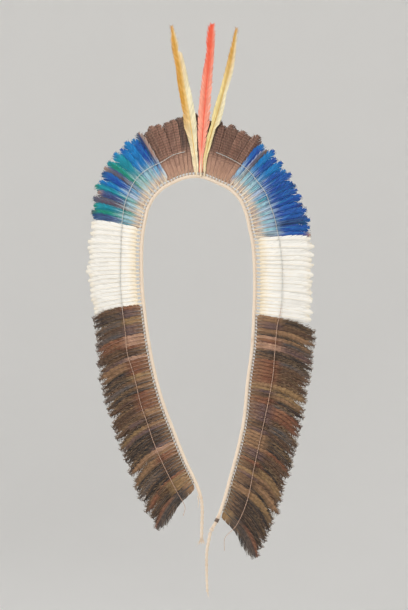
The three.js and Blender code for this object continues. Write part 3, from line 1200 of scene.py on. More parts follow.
@dataclass(frozen=True)
class Plume:
    """The colours of one feather, from the quill outwards.

    Attributes:
        root: The colour where the web starts.
        inner: The colour between the cord and the thread.
        outer: The colour beyond the thread.
        tip: The colour of the tip.
        edge: The colour of the crown edge.
        edge_share: How strongly the edge colour shows.
        trailing_shade: Painted shade: how much darker the web away from the crown is painted, where it
            lies under the next feather.
        edge_from: How far out on the crown web the edge colour starts.
        hem: The colour of the edge away from the crown.
        hem_share: How strongly that colour shows.
    """

    root: Colour
    inner: Colour
    outer: Colour
    tip: Colour
    edge: Colour
    edge_share: float = 0.0
    trailing_shade: float = 0.15
    edge_from: float = 0.55
    hem: Colour = linear(120, 122, 116)
    hem_share: float = 0.0

    def paint(self, share: Array, across: Array) -> Array:
        """The colours at shares along and across the feather."""
        shape = np.broadcast(share, across).shape
        share = np.broadcast_to(share, shape)
        across = np.broadcast_to(across, shape)
        colour = mix(self.root, self.inner, ramp(share, 0.08, 0.26))
        crownwards = ramp(across, self.edge_from, self.edge_from + 0.3)
        hemwards = ramp(-across, 0.7, 0.95) * ramp(share, 0.5, 0.7)
        layers = (
            (self.outer, ramp(share, 0.32, 0.52)),
            (self.tip, ramp(share, 0.84, 1.0)),
            (self.edge, crownwards * self.edge_share * ramp(share, 0.3, 0.55)),
            (self.hem, hemwards * self.hem_share),
        )
        for other, strength in layers:
            colour = colour + (np.asarray(other) - colour) * strength[..., None]
        # Painted shade: the web away from the crown, which lies under the next feather, is darkened.
        return colour * (1 - self.trailing_shade * ramp(-across, 0.0, 0.9))[..., None]


# The blue feathers of the left side from the crown down: (inner, outer, tip, edge, edge share).
LEFT_BLUES = [
    (Hue.ROYAL, Hue.NAVY, Hue.DULL, Hue.SKIN_TAN, 0.9),
    (Hue.SKY, Hue.ROYAL, Hue.SKY, Hue.ROYAL, 0.0),
    (Hue.PALE_BLUE, Hue.SKY, Hue.SKY, Hue.ROYAL, 0.2),
    (Hue.PALE_BLUE, Hue.SKY, Hue.ROYAL, Hue.SKY, 0.2),
    (Hue.GREEN, Hue.TEAL, Hue.SKY, Hue.TEAL, 0.2),
    (Hue.GREEN, Hue.GREEN, Hue.TEAL, Hue.TEAL, 0.4),
    (Hue.SLATE, Hue.DULL, Hue.SKIN_TAN, Hue.ROYAL, 0.5),
    (Hue.SKY, Hue.ROYAL, Hue.NAVY, Hue.SKY, 0.3),
    (Hue.LAVENDER, Hue.SKY, Hue.SKY, Hue.TEAL, 0.3),
    (Hue.GREEN, Hue.TEAL, Hue.GREEN, Hue.SKY, 0.3),
    (Hue.PALE_BLUE, Hue.SLATE, Hue.SKIN_TAN, Hue.SKY, 0.3),
    (Hue.SKIN_TAN, Hue.DULL, Hue.DULL, Hue.PLUM, 0.4),
    (Hue.GREEN, Hue.TEAL, Hue.GREEN, Hue.SLATE, 0.3),
    (Hue.PALE_BLUE, Hue.GREEN, Hue.GREY, Hue.TEAL, 0.4),
    (Hue.TEAL, Hue.SLATE, Hue.NAVY, Hue.TEAL, 0.4),
]

# The same for the right side.
RIGHT_BLUES = [
    (Hue.SKY, Hue.ROYAL, Hue.SKY, Hue.SKY, 0.4),
    (Hue.SKIN_TAN, Hue.DULL, Hue.TAN, Hue.LAVENDER, 0.8),
    (Hue.PALE_BLUE, Hue.SKY, Hue.ROYAL, Hue.SKY, 0.3),
    (Hue.TEAL, Hue.ROYAL, Hue.ROYAL, Hue.SKY, 0.3),
    (Hue.PALE_BLUE, Hue.SKY, Hue.ROYAL, Hue.SKY, 0.4),
    (Hue.TEAL, Hue.ROYAL, Hue.SKY, Hue.SKY, 0.2),
    (Hue.LAVENDER, Hue.ROYAL, Hue.ROYAL, Hue.SKY, 0.3),
    (Hue.SKY, Hue.ROYAL, Hue.ROYAL, Hue.SKY, 0.2),
    (Hue.TEAL, Hue.ROYAL, Hue.NAVY, Hue.SKY, 0.2),
    (Hue.PALE_BLUE, Hue.ROYAL, Hue.ROYAL, Hue.SKY, 0.3),
    (Hue.LAVENDER, Hue.ROYAL, Hue.ROYAL, Hue.ROYAL, 0.2),
    (Hue.PALE_BLUE, Hue.ROYAL, Hue.SLATE, Hue.SKY, 0.2),
    (Hue.LAVENDER, Hue.ROYAL, Hue.ROYAL, Hue.SLATE, 0.3),
    (Hue.PALE_BLUE, Hue.ROYAL, Hue.SLATE, Hue.SKY, 0.2),
    (Hue.LAVENDER, Hue.NAVY, Hue.ROYAL, Hue.ROYAL, 0.4),
    (Hue.PALE_BLUE, Hue.ROYAL, Hue.ROYAL, Hue.SLATE, 0.2),
    (Hue.DULL, Hue.ROYAL, Hue.SKIN_TAN, Hue.NAVY, 0.4),
]

BROWN_OUTERS = (
    Hue.BLACK, Hue.BLACK, Hue.UMBER, Hue.UMBER, Hue.UMBER, Hue.GREY, Hue.TAN, Hue.RUST, Hue.GOLD,
    Hue.PLUM,
)
BROWN_TIPS = (Hue.BLACK, Hue.BLACK, Hue.UMBER, Hue.GREY)
BROWN_INNERS = (Hue.TAN, Hue.RUST, Hue.GOLD, Hue.UMBER, Hue.PLUM, Hue.SKIN_TAN)


@dataclass(frozen=True)
class Stretch:
    """A stretch of feathers along one side of the cord.

    Attributes:
        node: The name of the node that it stands for.
        side: The side of the loop.
        kind: The kind of feather.
        start: Where it starts, as a distance along the cord from the crown.
        end: Where it ends.
        count: The number of feathers.
        rise: The angle above the horizontal of the first and the last quill.
        droop: How far the first and the last blade bend down.
        length: The length of the first and the last feather.
        width: The width of a feather.
        short: How much shorter every second feather is, as a share.
        gloom: The share of feathers that are dark all the way in.
        last: How much wider the last feather is, as a factor.
    """

    node: str
    side: Side
    kind: Kind
    start: float
    end: float
    count: int
    rise: Tuple[float, float]
    droop: Tuple[float, float]
    length: Tuple[float, float]
    width: float
    short: float = 0.02
    gloom: float = 0.12
    last: float = 1.0


L, R = Side.LEFT, Side.RIGHT
STRETCHES = [
    Stretch("crown_feathers_left", L, Kind.CROWN, 6, 50, 8, (90, 66), (0, 2), (105, 101), 20, 0.03),
    Stretch("blue_feathers_left_1", L, Kind.BLUE, 50, 97, 7, (62, 36), (0, 2), (100, 101), 20, 0.03),
    Stretch("blue_feathers_left_2", L, Kind.BLUE, 97, 146, 8, (33, 14), (2, 4), (99, 92), 19, 0.04),
    Stretch("white_feathers_left_1", L, Kind.WHITE, 146, 213, 10, (12, 0), (3, 4), (90, 93), 17),
    Stretch("white_feathers_left_2", L, Kind.WHITE, 213, 279, 10, (-1, -9), (4, 6), (93, 87), 17),
    Stretch("brown_feathers_left_1", L, Kind.BROWN, 279, 346, 11, (-9, -14), (12, 16), (89, 93), 17),
    Stretch("brown_feathers_left_2", L, Kind.BROWN, 346, 413, 11, (-14, -18), (17, 19), (93, 98), 17),
    Stretch("brown_feathers_left_3", L, Kind.BROWN, 413, 480, 11, (-18, -23), (19, 20), (97, 98), 17),
    Stretch("brown_feathers_left_4", L, Kind.BROWN, 480, 547, 11, (-23, -30), (20, 20), (98, 101), 17),
    Stretch(
        "brown_feathers_left_5", L, Kind.BROWN, 547, 606, 11, (-31, -42), (20, 14), (101, 103), 18,
        0.02, 0.3, 1.5,
    ),
    Stretch("crown_feathers_right", R, Kind.CROWN, 6, 56, 9, (90, 57), (0, 0), (104, 101), 22, 0.08),
    Stretch("blue_feathers_right_1", R, Kind.BLUE, 56, 107, 8, (52, 30), (0, 2), (97, 97), 20, 0.03),
    Stretch("blue_feathers_right_2", R, Kind.BLUE, 107, 161, 9, (28, 4), (2, 2), (99, 103), 19, 0.03),
    Stretch("white_feathers_right_1", R, Kind.WHITE, 161, 227, 10, (3, -3), (2, 2), (102, 97), 17),
    Stretch("white_feathers_right_2", R, Kind.WHITE, 227, 293, 11, (-3, -6), (2, 4), (97, 99), 17),
    Stretch("brown_feathers_right_1", R, Kind.BROWN, 293, 363, 12, (-8, -11), (10, 15), (107, 108), 17),
    Stretch("brown_feathers_right_2", R, Kind.BROWN, 363, 433, 12, (-11, -15), (16, 19), (108, 104), 17),
    Stretch("brown_feathers_right_3", R, Kind.BROWN, 433, 503, 12, (-15, -23), (19, 22), (104, 102), 17),
    Stretch(
        "brown_feathers_right_4", R, Kind.BROWN, 503, 573, 12, (-23, -33), (22, 23), (102, 105), 17,
        0.02, 0.35,
    ),
    Stretch(
        "brown_feathers_right_5", R, Kind.BROWN, 573, 643, 12, (-33, -46), (23, 20), (105, 106), 18,
        0.02, 0.8, 1.6,
    ),
]


@dataclass
class FeatherFringe:
    """The shingled wing feathers all round the outside of the cord.

    Attributes:
        finishes: The materials.
        foot_out: How far the CAD foot of a quill is from the cord's centreline.
        tilt: How far a feather's crown edge is turned to the front, in degrees.
        curl: How far a tip bends back.
        web_thickness: The thickness of a web.
        crown_share: The share of the width that the crown web takes.
        quill_radius: The quill's radius at the foot, by kind of feather.
        wisps: The loose barbs of each web, by kind of feather.
        lashing: The radius of the lashing thread.
        middle_foot: Where the hidden feather behind the tall ones stands, from the crown.
        collar_back: How far before the foot a quill is lashed.
        blues: How many blue feathers each side has so far.
        browns: The outer and the inner colour of the latest brown feather.
        spines: The quills of each side, from the crown down.
    """

    finishes: Finishes
    foot_out: float = 4.6
    tilt: float = 13.0
    curl: float = 5.0
    web_thickness: float = 0.16
    crown_share: float = 0.42
    quill_radius: Dict[Kind, float] = field(
        default_factory=lambda: {
            Kind.CROWN: 1.1,
            Kind.BLUE: 1.15,
            Kind.WHITE: 1.2,
            Kind.BROWN: 1.05,
        }
    )
    wisps: Dict[Kind, Wisps] = field(
        default_factory=lambda: {
            Kind.CROWN: Wisps(5),
            Kind.BLUE: Wisps(9, (1.6, 4.4), (0.2, 0.36)),
            Kind.WHITE: Wisps(6, (1.4, 3.6)),
            Kind.BROWN: Wisps(26, (2.0, 6.6), (0.26, 0.5), 0.7),
        }
    )
    lashing: float = 0.32
    middle_foot: float = 3.2
    collar_back: float = 0.5
    blues: Dict[Side, int] = field(default_factory=lambda: {Side.LEFT: 0, Side.RIGHT: 0})
    browns: List[Colour] = field(default_factory=list)
    spines: Dict[Side, List[Spine]] = field(
        default_factory=lambda: {Side.LEFT: [], Side.RIGHT: []}
    )

    def build(self) -> List[bpy.types.Object]:
        """Builds every stretch."""
        return [self.stretch(s, number) for number, s in enumerate(STRETCHES)]

    def stretch(self, row: Stretch, number: int) -> bpy.types.Object:
        """Builds one stretch of feathers.

        Args:
            row: The stretch.
            number: Its place in the table, which seeds its random draws.

        Returns:
            The finished piece.
        """
        dice = np.random.default_rng(100 + number)
        webs, quills = Mould(), Mould()
        pitch = (row.end - row.start) / row.count
        for i in range(row.count):
            share = i / (row.count - 1)
            self.feather(row, share, row.start + (i + 0.5) * pitch, i, webs, quills, dice)
        if row.kind is Kind.CROWN:
            self.feather(row, 0.0, self.middle_foot, 0, webs, quills, dice)
        self.running_thread(quills, row)
        look = [*self.finishes.vanes[row.kind], self.finishes.quill, self.finishes.thread]
        sheet = webs.cast(row.node + "_webs", look)
        thickened(welded(sheet), self.web_thickness * MM)
        bones = quills.cast(row.node + "_quills", look)
        piece = joined("fringe_" + row.node, sheet, bones)
        return placed(smoothed(piece, 40), row.kind.value, row.node)

    def feather(
        self,
        row: Stretch,
        share: float,
        distance: float,
        index: int,
        webs: Mould,
        quills: Mould,
        dice: np.random.Generator,
    ) -> None:
        """Adds one feather and the thread that ties its quill to the cord.

        Args:
            row: The stretch.
            share: How far through the stretch it is.
            distance: Its distance along the cord from the crown.
            index: Its number in the stretch.
            webs: What its webs are added to.
            quills: What its quill is added to.
            dice: The random source.
        """
        centre, along, outwards = cord_place(row.side, distance)
        foot = centre + outwards * self.foot_out * MM
        brown = row.kind is Kind.BROWN
        kink = (0.25, 0.75) if brown else (0.1, 0.9)
        long = dice.uniform(0.965, 1.025) * (1 - row.short * (index % 2))
        last = row.last if index == row.count - 1 else 1.0
        spine = Spine(
            foot,
            row.side,
            np.interp(share, (0, 1), row.rise) + dice.normal(0, 0.9 if not brown else 1.4),
            np.interp(share, (0, 1), row.droop) + dice.normal(0, 1.0),
            np.interp(share, (0, 1), row.length) * long * MM,
            (self.curl + dice.normal(0, 0.4)) * MM,
            kink,
        )
        plume = self.plume(row, index, dice)
        seed = dice.uniform(0, 1)
        width = row.width * dice.uniform(0.93, 1.06) * last * MM
        crown = width * self.crown_share
        blunt = dice.uniform(0, 1)
        forms = {
            Kind.CROWN: dict(shoulder=0.87, point=2.4, ragged=0.25, bare=0.02, rows=28),
            Kind.BLUE: dict(shoulder=0.82, point=1.7 + 0.7 * blunt, ragged=0.5, bare=0.025),
            Kind.WHITE: dict(shoulder=0.8, point=1.5 + 0.7 * blunt, ragged=0.4, bare=0.05),
            Kind.BROWN: dict(
                shoulder=0.72, point=1.4 + 0.7 * blunt, ragged=0.75, bare=0.01, rows=36,
                lock=(1, 3), split=0.5,
            ),
        }
        form = forms[row.kind]
        if last > 1:
            form.update(shoulder=0.62, point=2.3, ragged=0.34)
        tilt = self.tilt + dice.normal(0, 0.8)
        for hand, wide, camber in ((1, crown, 0.3), (-1, width - crown, 0.9)):
            web = Web(hand, wide, camber=camber * MM, **form)
            add_web(webs, spine, web, tilt, plume.paint, seed, dice)
            add_wisps(webs, spine, web, tilt, plume.paint, seed, dice, self.wisps[row.kind])
        butt = self.quill_radius[row.kind] * dice.uniform(0.9, 1.1) * MM
        lead = (self.foot_out - 2.4) * MM
        horn, turn = self.horn(row.kind, plume)
        add_quill(quills, spine, butt, 0.25 * MM, lead, horn, seed, turn)
        self.collar(quills, spine, butt, self.lashing_colour(row.kind))
        self.spines[row.side].append(spine)

    @staticmethod
    def lashing_colour(kind: Kind) -> Colour:
        """The colour of the lashing, which is soiled beside the brown feathers."""
        soil = {Kind.CROWN: 0.5, Kind.BLUE: 0.5, Kind.WHITE: 0.1, Kind.BROWN: 0.85}[kind]
        return tuple(mix(Hue.COTTON.value, Hue.DARK_QUILL.value, soil).tolist())

    def collar(self, quills: Mould, spine: Spine, butt: float, colour: Colour) -> None:
        """Adds the turns of thread that lash a quill against the cord."""
        ahead = spine.ahead[0]
        across = np.array([-ahead[2], 0.0, ahead[0]])
        front = np.array([0.0, -1.0, 0.0])
        radius = butt + self.lashing * 0.7 * MM
        middle = spine.centre[0] - ahead * self.collar_back * MM
        pitch = ahead * 2.1 * self.lashing * MM
        size = self.lashing * MM
        axes = (across, front)
        add_ring(quills, middle, axes, (radius, radius), size, 2.25, pitch, colour, 3)

    def running_thread(self, quills: Mould, row: Stretch) -> None:
        """Adds the thread that runs from quill to quill beside the cord.

        Args:
            quills: What it is added to.
            row: The stretch.
        """
        pitch = (row.end - row.start) / row.count
        line = []
        for distance in np.arange(row.start + 0.2, row.end - 0.1, pitch / 4):
            centre, _, outwards = cord_place(row.side, distance)
            phase = 2 * math.pi * (distance - row.start) / pitch
            depth = -(1.15 - 0.75 * math.cos(phase)) * MM
            line.append(centre + outwards * 3.75 * MM + np.array([0.0, depth, 0.0]))
        colour = self.lashing_colour(row.kind)
        add_tube(quills, np.array(line), self.lashing * MM, 5, colour, 0.7, 3)

    @staticmethod
    def horn(kind: Kind, plume: Plume) -> Tuple[Tuple[Colour, Colour], Tuple[float, float]]:
        """The colours of a quill, which takes after its webs.

        Args:
            kind: The kind of feather.
            plume: The colours of its webs.

        Returns:
            The colours at the foot and further out, and the shares between which they change.
        """
        if kind is Kind.WHITE:
            return (Hue.QUILL.value, Hue.CREAM.value), (0.05, 0.3)
        outer = tuple(mix(plume.outer, (0.0, 0.0, 0.0), 0.35).tolist())
        if kind is Kind.BLUE:
            foot = tuple(mix(Hue.QUILL.value, plume.root, 0.3).tolist())
            return (foot, outer), (0.08, 0.42)
        foot = tuple(mix(Hue.QUILL.value, plume.inner, 0.6).tolist())
        return (foot, tuple(mix(plume.inner, outer, 0.5).tolist())), (0.0, 0.1)

    def plume(self, row: Stretch, index: int, dice: np.random.Generator) -> Plume:
        """Picks the colours of one feather.

        Args:
            row: The stretch.
            index: The feather's number in the stretch.
            dice: The random source.

        Returns:
            Its colours.
        """
        if row.kind is Kind.WHITE:
            tip = mix(Hue.WHITE.value, Hue.CREAM.value, dice.uniform(0.3, 1.0))
            return Plume(
                Hue.CREAM.value, Hue.WHITE.value, Hue.WHITE.value, tuple(tip), Hue.WHITE.value
            )
        if row.kind is Kind.BLUE:
            table = LEFT_BLUES if row.side is Side.LEFT else RIGHT_BLUES
            inner, outer, tip, edge, strength = table[self.blues[row.side]]
            self.blues[row.side] += 1
            first = self.blues[row.side] == 1 and row.side is Side.LEFT
            pale = mix(inner.value, Hue.PALE_BLUE.value, dice.uniform(0.2, 0.6))
            root = mix(Hue.SKIN_TAN.value, Hue.CREAM.value, dice.uniform(0.0, 0.5))
            colours = (tuple(root), tuple(pale), outer.value, tip.value, edge.value)
            return Plume(*colours, strength, edge_from=0.1 if first else 0.55)
        if row.kind is Kind.CROWN:
            near = 0.75 if index < 3 else 0.15
            outer = mix(Hue.CROWN_TIP.value, Hue.CROWN_DARK.value, near)
            outer = outer * dice.uniform(0.75, 1.25)
            tip = mix(outer, Hue.SKIN_TAN.value, dice.uniform(0.0, 0.25))
            pale = Hue.SKIN_TAN.value
            base = mix(Hue.CROWN_BASE.value, pale, dice.uniform(0, 0.6))
            colours = (pale, tuple(base), tuple(outer), tuple(tip), pale)
            # 0.4 is the painted shade on the web away from the crown.
            return Plume(*colours, 0.55, 0.4, edge_from=0.7)
        if dice.uniform() < 0.65 or not self.browns:
            outer = BROWN_OUTERS[dice.integers(len(BROWN_OUTERS))].value
            inner = BROWN_INNERS[dice.integers(len(BROWN_INNERS))].value
            if dice.uniform() < row.gloom:
                outer, inner = Hue.BLACK.value, mix(Hue.BLACK.value, Hue.UMBER.value, 0.4)
            self.browns[:] = [tuple(outer), tuple(inner)]
        outer, inner = self.browns
        tip = mix(BROWN_TIPS[dice.integers(len(BROWN_TIPS))].value, outer, 0.25)
        edge = Hue.GOLD if dice.uniform() < 0.6 else Hue.TAN
        strength = dice.uniform(0.1, 0.8)
        root = mix(Hue.TAN.value, inner, 0.5)
        if row.last > 1 and index == row.count - 1:
            dark = tuple(mix(Hue.BLACK.value, Hue.GREY.value, 0.3).tolist())
            # The crown-edge colour, its share, the painted shade on the web away from the crown, and
            # where the edge colour starts.
            edges = (Hue.RUST.value, 0.8, 0.1, 0.3)
            return Plume(inner, dark, dark, Hue.GREY.value, *edges, hem_share=0.55)
        # 0.45 is the painted shade on the web away from the crown.
        return Plume(tuple(root), inner, outer, tuple(tip), edge.value, strength, 0.45)


@dataclass(frozen=True)
class TallPlume:
    """The colours of a tall tail feather.

    Attributes:
        root: The colour of the foot of the webs.
        left: The colour of the left web.
        right: The colour of the right web.
        core: The colour along the quill.
        top: The colour of the upper third.
        tip: The colour of the very tip.
        core_share: How strongly the core colour shows.
    """

    root: Hue
    left: Hue
    right: Hue
    core: Hue
    top: Hue
    tip: Hue
    core_share: float

    def paint(self, share: Array, across: Array) -> Array:
        """The colours at shares along and across the feather."""
        share, across = np.broadcast_arrays(share, across)
        halves = ramp(across, -0.2, 0.2)[..., None]
        colour = np.asarray(self.right.value) * (1 - halves) + np.asarray(self.left.value) * halves
        layers = (
            (self.core, (1 - ramp(np.abs(across), 0.05, 0.6)) * self.core_share),
            (self.top, ramp(share, 0.5, 0.85) * (0.35 + 0.55 * ramp(across, -0.9, 0.3))),
            (self.tip, ramp(share, 0.93, 1.0) * 0.8),
            (self.root, (1 - ramp(share, 0.15, 0.5)) * 0.8),
        )
        for hue, strength in layers:
            colour = colour + (np.asarray(hue.value) - colour) * strength[..., None]
        return colour


@dataclass(frozen=True)
class TallFeather:
    """One of the tall tail feathers at the crown.

    Attributes:
        node: The node that it stands for.
        slot: The record's slot of its finish.
        in_front: How far in front of the fringe it stands.
        rows: From the foot to the tip: z, the quill's x, and the widths of the left and the
            right web.
        plume: Its colours.
        bare: The share of the quill below the webs.
        ragged: How frayed its edges are.
    """

    node: str
    slot: str
    in_front: float
    rows: Sequence[Tuple[float, float, float, float]]
    plume: TallPlume
    bare: float
    ragged: float


TALL_FEATHERS = [
    TallFeather(
        "tail_feather_yellow_left",
        "tail_yellow",
        2.3,
        [
            (6, -1, 3, 3), (22, -2.2, 5, 5), (54, -5.5, 6.3, 5.6), (75, -8.5, 9, 9),
            (93, -11, 12.4, 11), (118, -15.3, 10.6, 11.6), (143, -19.5, 10.7, 11),
            (168, -24, 11, 9.7), (194, -28.8, 8.6, 9.2), (219, -34.2, 8.6, 7.6),
            (222, -34.8, 8.8, 2.6), (236, -37.7, 8.2, 5.2), (252, -41.2, 5, 3.6),
            (262, -43.6, 2.8, 2.4), (269.5, -45, 1.6, 1.6),
        ],
        TallPlume(Hue.IVORY, Hue.OCHRE, Hue.IVORY, Hue.YELLOW, Hue.OCHRE, Hue.BUFF, 0.35),
        0.012,
        0.3,
    ),
    TallFeather(
        "tail_feather_red",
        "tail_coral",
        3.9,
        [
            (6, 6.5, 2.6, 2.6), (23, 6.5, 3.8, 3.6), (36, 7.3, 3.2, 3.2), (45, 8, 5, 5),
            (75, 9.3, 8.7, 8.1), (93, 10.8, 10.2, 10.8), (118, 13, 11, 10.8),
            (143, 15.2, 10.4, 10), (168, 17.2, 10, 9.7), (193, 20, 9, 8.3),
            (218, 22.6, 7, 7.9), (244, 24.2, 8.2, 7.7), (258, 25.4, 7.4, 6.6),
            (269, 26.3, 5.2, 5.0), (272.5, 26.4, 3.6, 3.4),
        ],
        TallPlume(Hue.SALMON, Hue.SALMON, Hue.SALMON, Hue.SCARLET, Hue.SCARLET, Hue.SCARLET, 0.62),
        0.012,
        0.42,
    ),
    TallFeather(
        "tail_feather_yellow_right",
        "tail_yellow",
        2.3,
        [
            (5.6, 13, 2.2, 2.4), (20, 12.6, 3.2, 3), (33, 13.4, 3.6, 3.2), (47, 17.2, 3.8, 4.2),
            (67, 21.6, 6, 5.2), (92, 29, 5, 5.2), (96, 30.4, 5.6, 8.4), (105, 33.6, 7.7, 9.2),
            (117, 37.2, 9, 9.6), (127, 40, 8.8, 8.5), (152, 46.6, 7.2, 6.2),
            (177, 53.2, 7.2, 7.6), (194, 57, 6.8, 8), (219, 62, 6, 5.8), (244, 66.3, 3.6, 3.6),
            (260, 68.9, 2.4, 2.4), (266, 70, 1.6, 1.6),
        ],
        TallPlume(
            Hue.PALE_YELLOW, Hue.PALE_YELLOW, Hue.IVORY, Hue.OLIVE, Hue.OCHRE, Hue.BUFF, 0.7
        ),
        0.02,
        0.3,
    ),
]


@dataclass
class TallFeathers:
    """The three tall tail feathers that stand at the crown."""

    finishes: Finishes
    curl: float = 6.0
    rows: int = 72
    wisps: Wisps = Wisps(34, (1.6, 5.0), (0.2, 0.4), 0.9)
    web_thickness: float = 0.2

    def build(self) -> List[bpy.types.Object]:
        """Builds the three feathers."""
        return [self.feather(shape, number) for number, shape in enumerate(TALL_FEATHERS)]

    def feather(self, shape: TallFeather, number: int) -> bpy.types.Object:
        """Builds one tall feather.

        Args:
            shape: Its measures and colours.
            number: Its place in the table, which seeds its random draws.

        Returns:
            The finished piece.
        """
        dice = np.random.default_rng(300 + number)
        table = np.array(shape.rows) * MM
        places = np.stack([table[:, 1], np.full(len(table), -shape.in_front * MM), table[:, 0]], 1)
        spine = Spine.through(places, self.curl * MM)
        steps = np.linalg.norm(np.diff(places, axis=0), axis=1)
        shares = np.concatenate([[0], np.cumsum(steps)]) / spine.length
        webs, quills = Mould(), Mould()
        for hand, column in ((1, 2), (-1, 3)):
            widths = table[:, column]

            def outline(share: Array, widths: Array = widths) -> Array:
                """The web's width at shares of the length, drawn in at the very tip."""
                close = 1 - ramp(share, 0.992, 1.003)
                return np.interp(share, shares, widths) * close

            web = Web(
                hand,
                float(widths.max()),
                bare=shape.bare,
                sweep=1.3,
                rows=self.rows,
                ragged=shape.ragged,
                split=0.5,
                camber=1.0 * MM,
                outline=outline,
            )
            seed = 0.1 + 0.2 * number
            add_web(webs, spine, web, 0.0, shape.plume.paint, seed, dice)
            add_wisps(webs, spine, web, 0.0, shape.plume.paint, seed, dice, self.wisps)
        coral = shape.slot == "tail_coral"
        vane = self.finishes.coral_vane if coral else self.finishes.yellow_vane
        look = [*vane, self.finishes.quill]
        sheet = webs.cast(shape.node + "_webs", look)
        thickened(welded(sheet), self.web_thickness * MM)
        shaft = tuple(mix(shape.plume.core.value, shape.plume.top.value, 0.5).tolist())
        colours = (Hue.QUILL.value, shaft)
        add_quill(
            quills, spine, 1.4 * MM, 0.3 * MM, 3.0 * MM, colours, 0.5, (0.05, 0.2), 0.97, 8
        )
        bones = quills.cast(shape.node + "_quill", look)
        piece = joined("tall_" + shape.node, sheet, bones)
        return placed(smoothed(piece, 40), shape.slot, shape.node)


# --------------------------------------------------------------------------- cords


@dataclass
class BaseCord:
    """The wound cotton cord that carries every quill.

    Attributes:
        finishes: The materials.
        radius: The cord's radius.
        sides: How many sides its section has.
        step: The distance between its sections.
    """

    finishes: Finishes
    radius: float = 3.0
    sides: int = 18
    step: float = 1.6

    def relief(self, walked: Array, angle: Array) -> Array:
        """The lumps and the shallow lay of the cord, as a factor on its radius."""
        lay = np.cos(2 * angle - walked / MM * 2 * math.pi / 21.0)
        lumps = np.sin(walked / MM * 0.37 + 1.3) * np.sin(walked / MM * 0.113)
        turns = np.sin(walked / MM * 2 * math.pi / 6.4 + angle)
        return 1 + 0.022 * lay + 0.03 * lumps + 0.012 * turns

    def build(self) -> bpy.types.Object:
        """Builds the cord."""
        mould = Mould()
        line = LOOP.spaced(self.step * MM)
        add_tube(
            mould, line, self.radius * MM, self.sides, Hue.COTTON.value, 0.2, 0, self.relief
        )
        piece = mould.cast("wound_base_cord", [self.finishes.cotton])
        return placed(smoothed(piece, 60), "cord", "base_cord")


@dataclass
class BindingThreads:
    """The fine threads knotted to every quill half way out.

    Attributes:
        finishes: The materials.
        radius: The thread's radius.
        depth: How far in front of the cord's centre it runs.
        reach: How close a quill has to come to be knotted.
        hitch: How far a knot stands round the quill.
    """

    finishes: Finishes
    radius: float = 0.48
    depth: float = 1.9
    reach: float = 3.0
    hitch: float = 0.75

    def build(self, spines: Dict[Side, List[Spine]]) -> List[bpy.types.Object]:
        """Builds both threads.

        Args:
            spines: The quills of each side.

        Returns:
            The finished pieces.
        """
        routes = {Side.LEFT: THREAD_LEFT_ROUTE, Side.RIGHT: THREAD_RIGHT_ROUTE}
        return [self.thread(side, route, spines[side]) for side, route in routes.items()]

    def thread(
        self, side: Side, points: Sequence[Tuple[float, float]], spines: Sequence[Spine]
    ) -> bpy.types.Object:
        """Builds one thread with its knots.

        Args:
            side: The side of the loop.
            points: The thread's route.
            spines: The quills that it is knotted to.

        Returns:
            The finished piece.
        """
        mould = Mould()
        route = Route(points, -self.depth)
        line = route.spaced(2.0 * MM)
        add_tube(mould, line, self.radius * MM, 6, self.dye(line), 0.4)
        for spine in spines:
            self.knot(mould, route, spine)
        piece = mould.cast("thread_" + side.name.lower(), [self.finishes.thread])
        return placed(smoothed(piece, 60), "thread", "binding_thread_" + side.name.lower())

    @staticmethod
    def dye(line: Array) -> Array:
        """The thread's colours, pale beside the blue and white feathers and tan below."""
        brown = ramp(-line[:, 2], 0.21, 0.25)
        return mix(Hue.PALE_THREAD.value, Hue.TAN_THREAD.value, brown)

    def knot(self, mould: Mould, route: Route, spine: Spine) -> None:
        """Adds the knot where the thread crosses a quill, if it does.

        Args:
            mould: What it is added to.
            route: The thread's route.
            spine: The quill.
        """
        flat = [0, 2]
        gaps = np.linalg.norm(spine.centre[:, None, flat] - route.line[None, :, flat], axis=2)
        quill, thread = np.unravel_index(np.argmin(gaps), gaps.shape)
        if gaps[quill, thread] > self.reach * MM:
            return
        at = route.line[thread]
        ahead = spine.ahead[quill]
        across = np.array([-ahead[2], 0.0, ahead[0]])
        front = np.array([0.0, -1.0, 0.0])
        deep = (spine.centre[quill][1] - at[1]) / 2
        centre = np.array([at[0], at[1] + deep, at[2]])
        radii = (self.hitch * MM, deep + self.hitch * MM)
        colour = tuple(self.dye(at[None, :])[0].tolist())
        pitch = ahead * 1.7 * self.radius * MM
        size = self.radius * 0.8 * MM
        add_ring(mould, centre, (front, across), radii[::-1], size, 1.6, pitch, colour, 0)


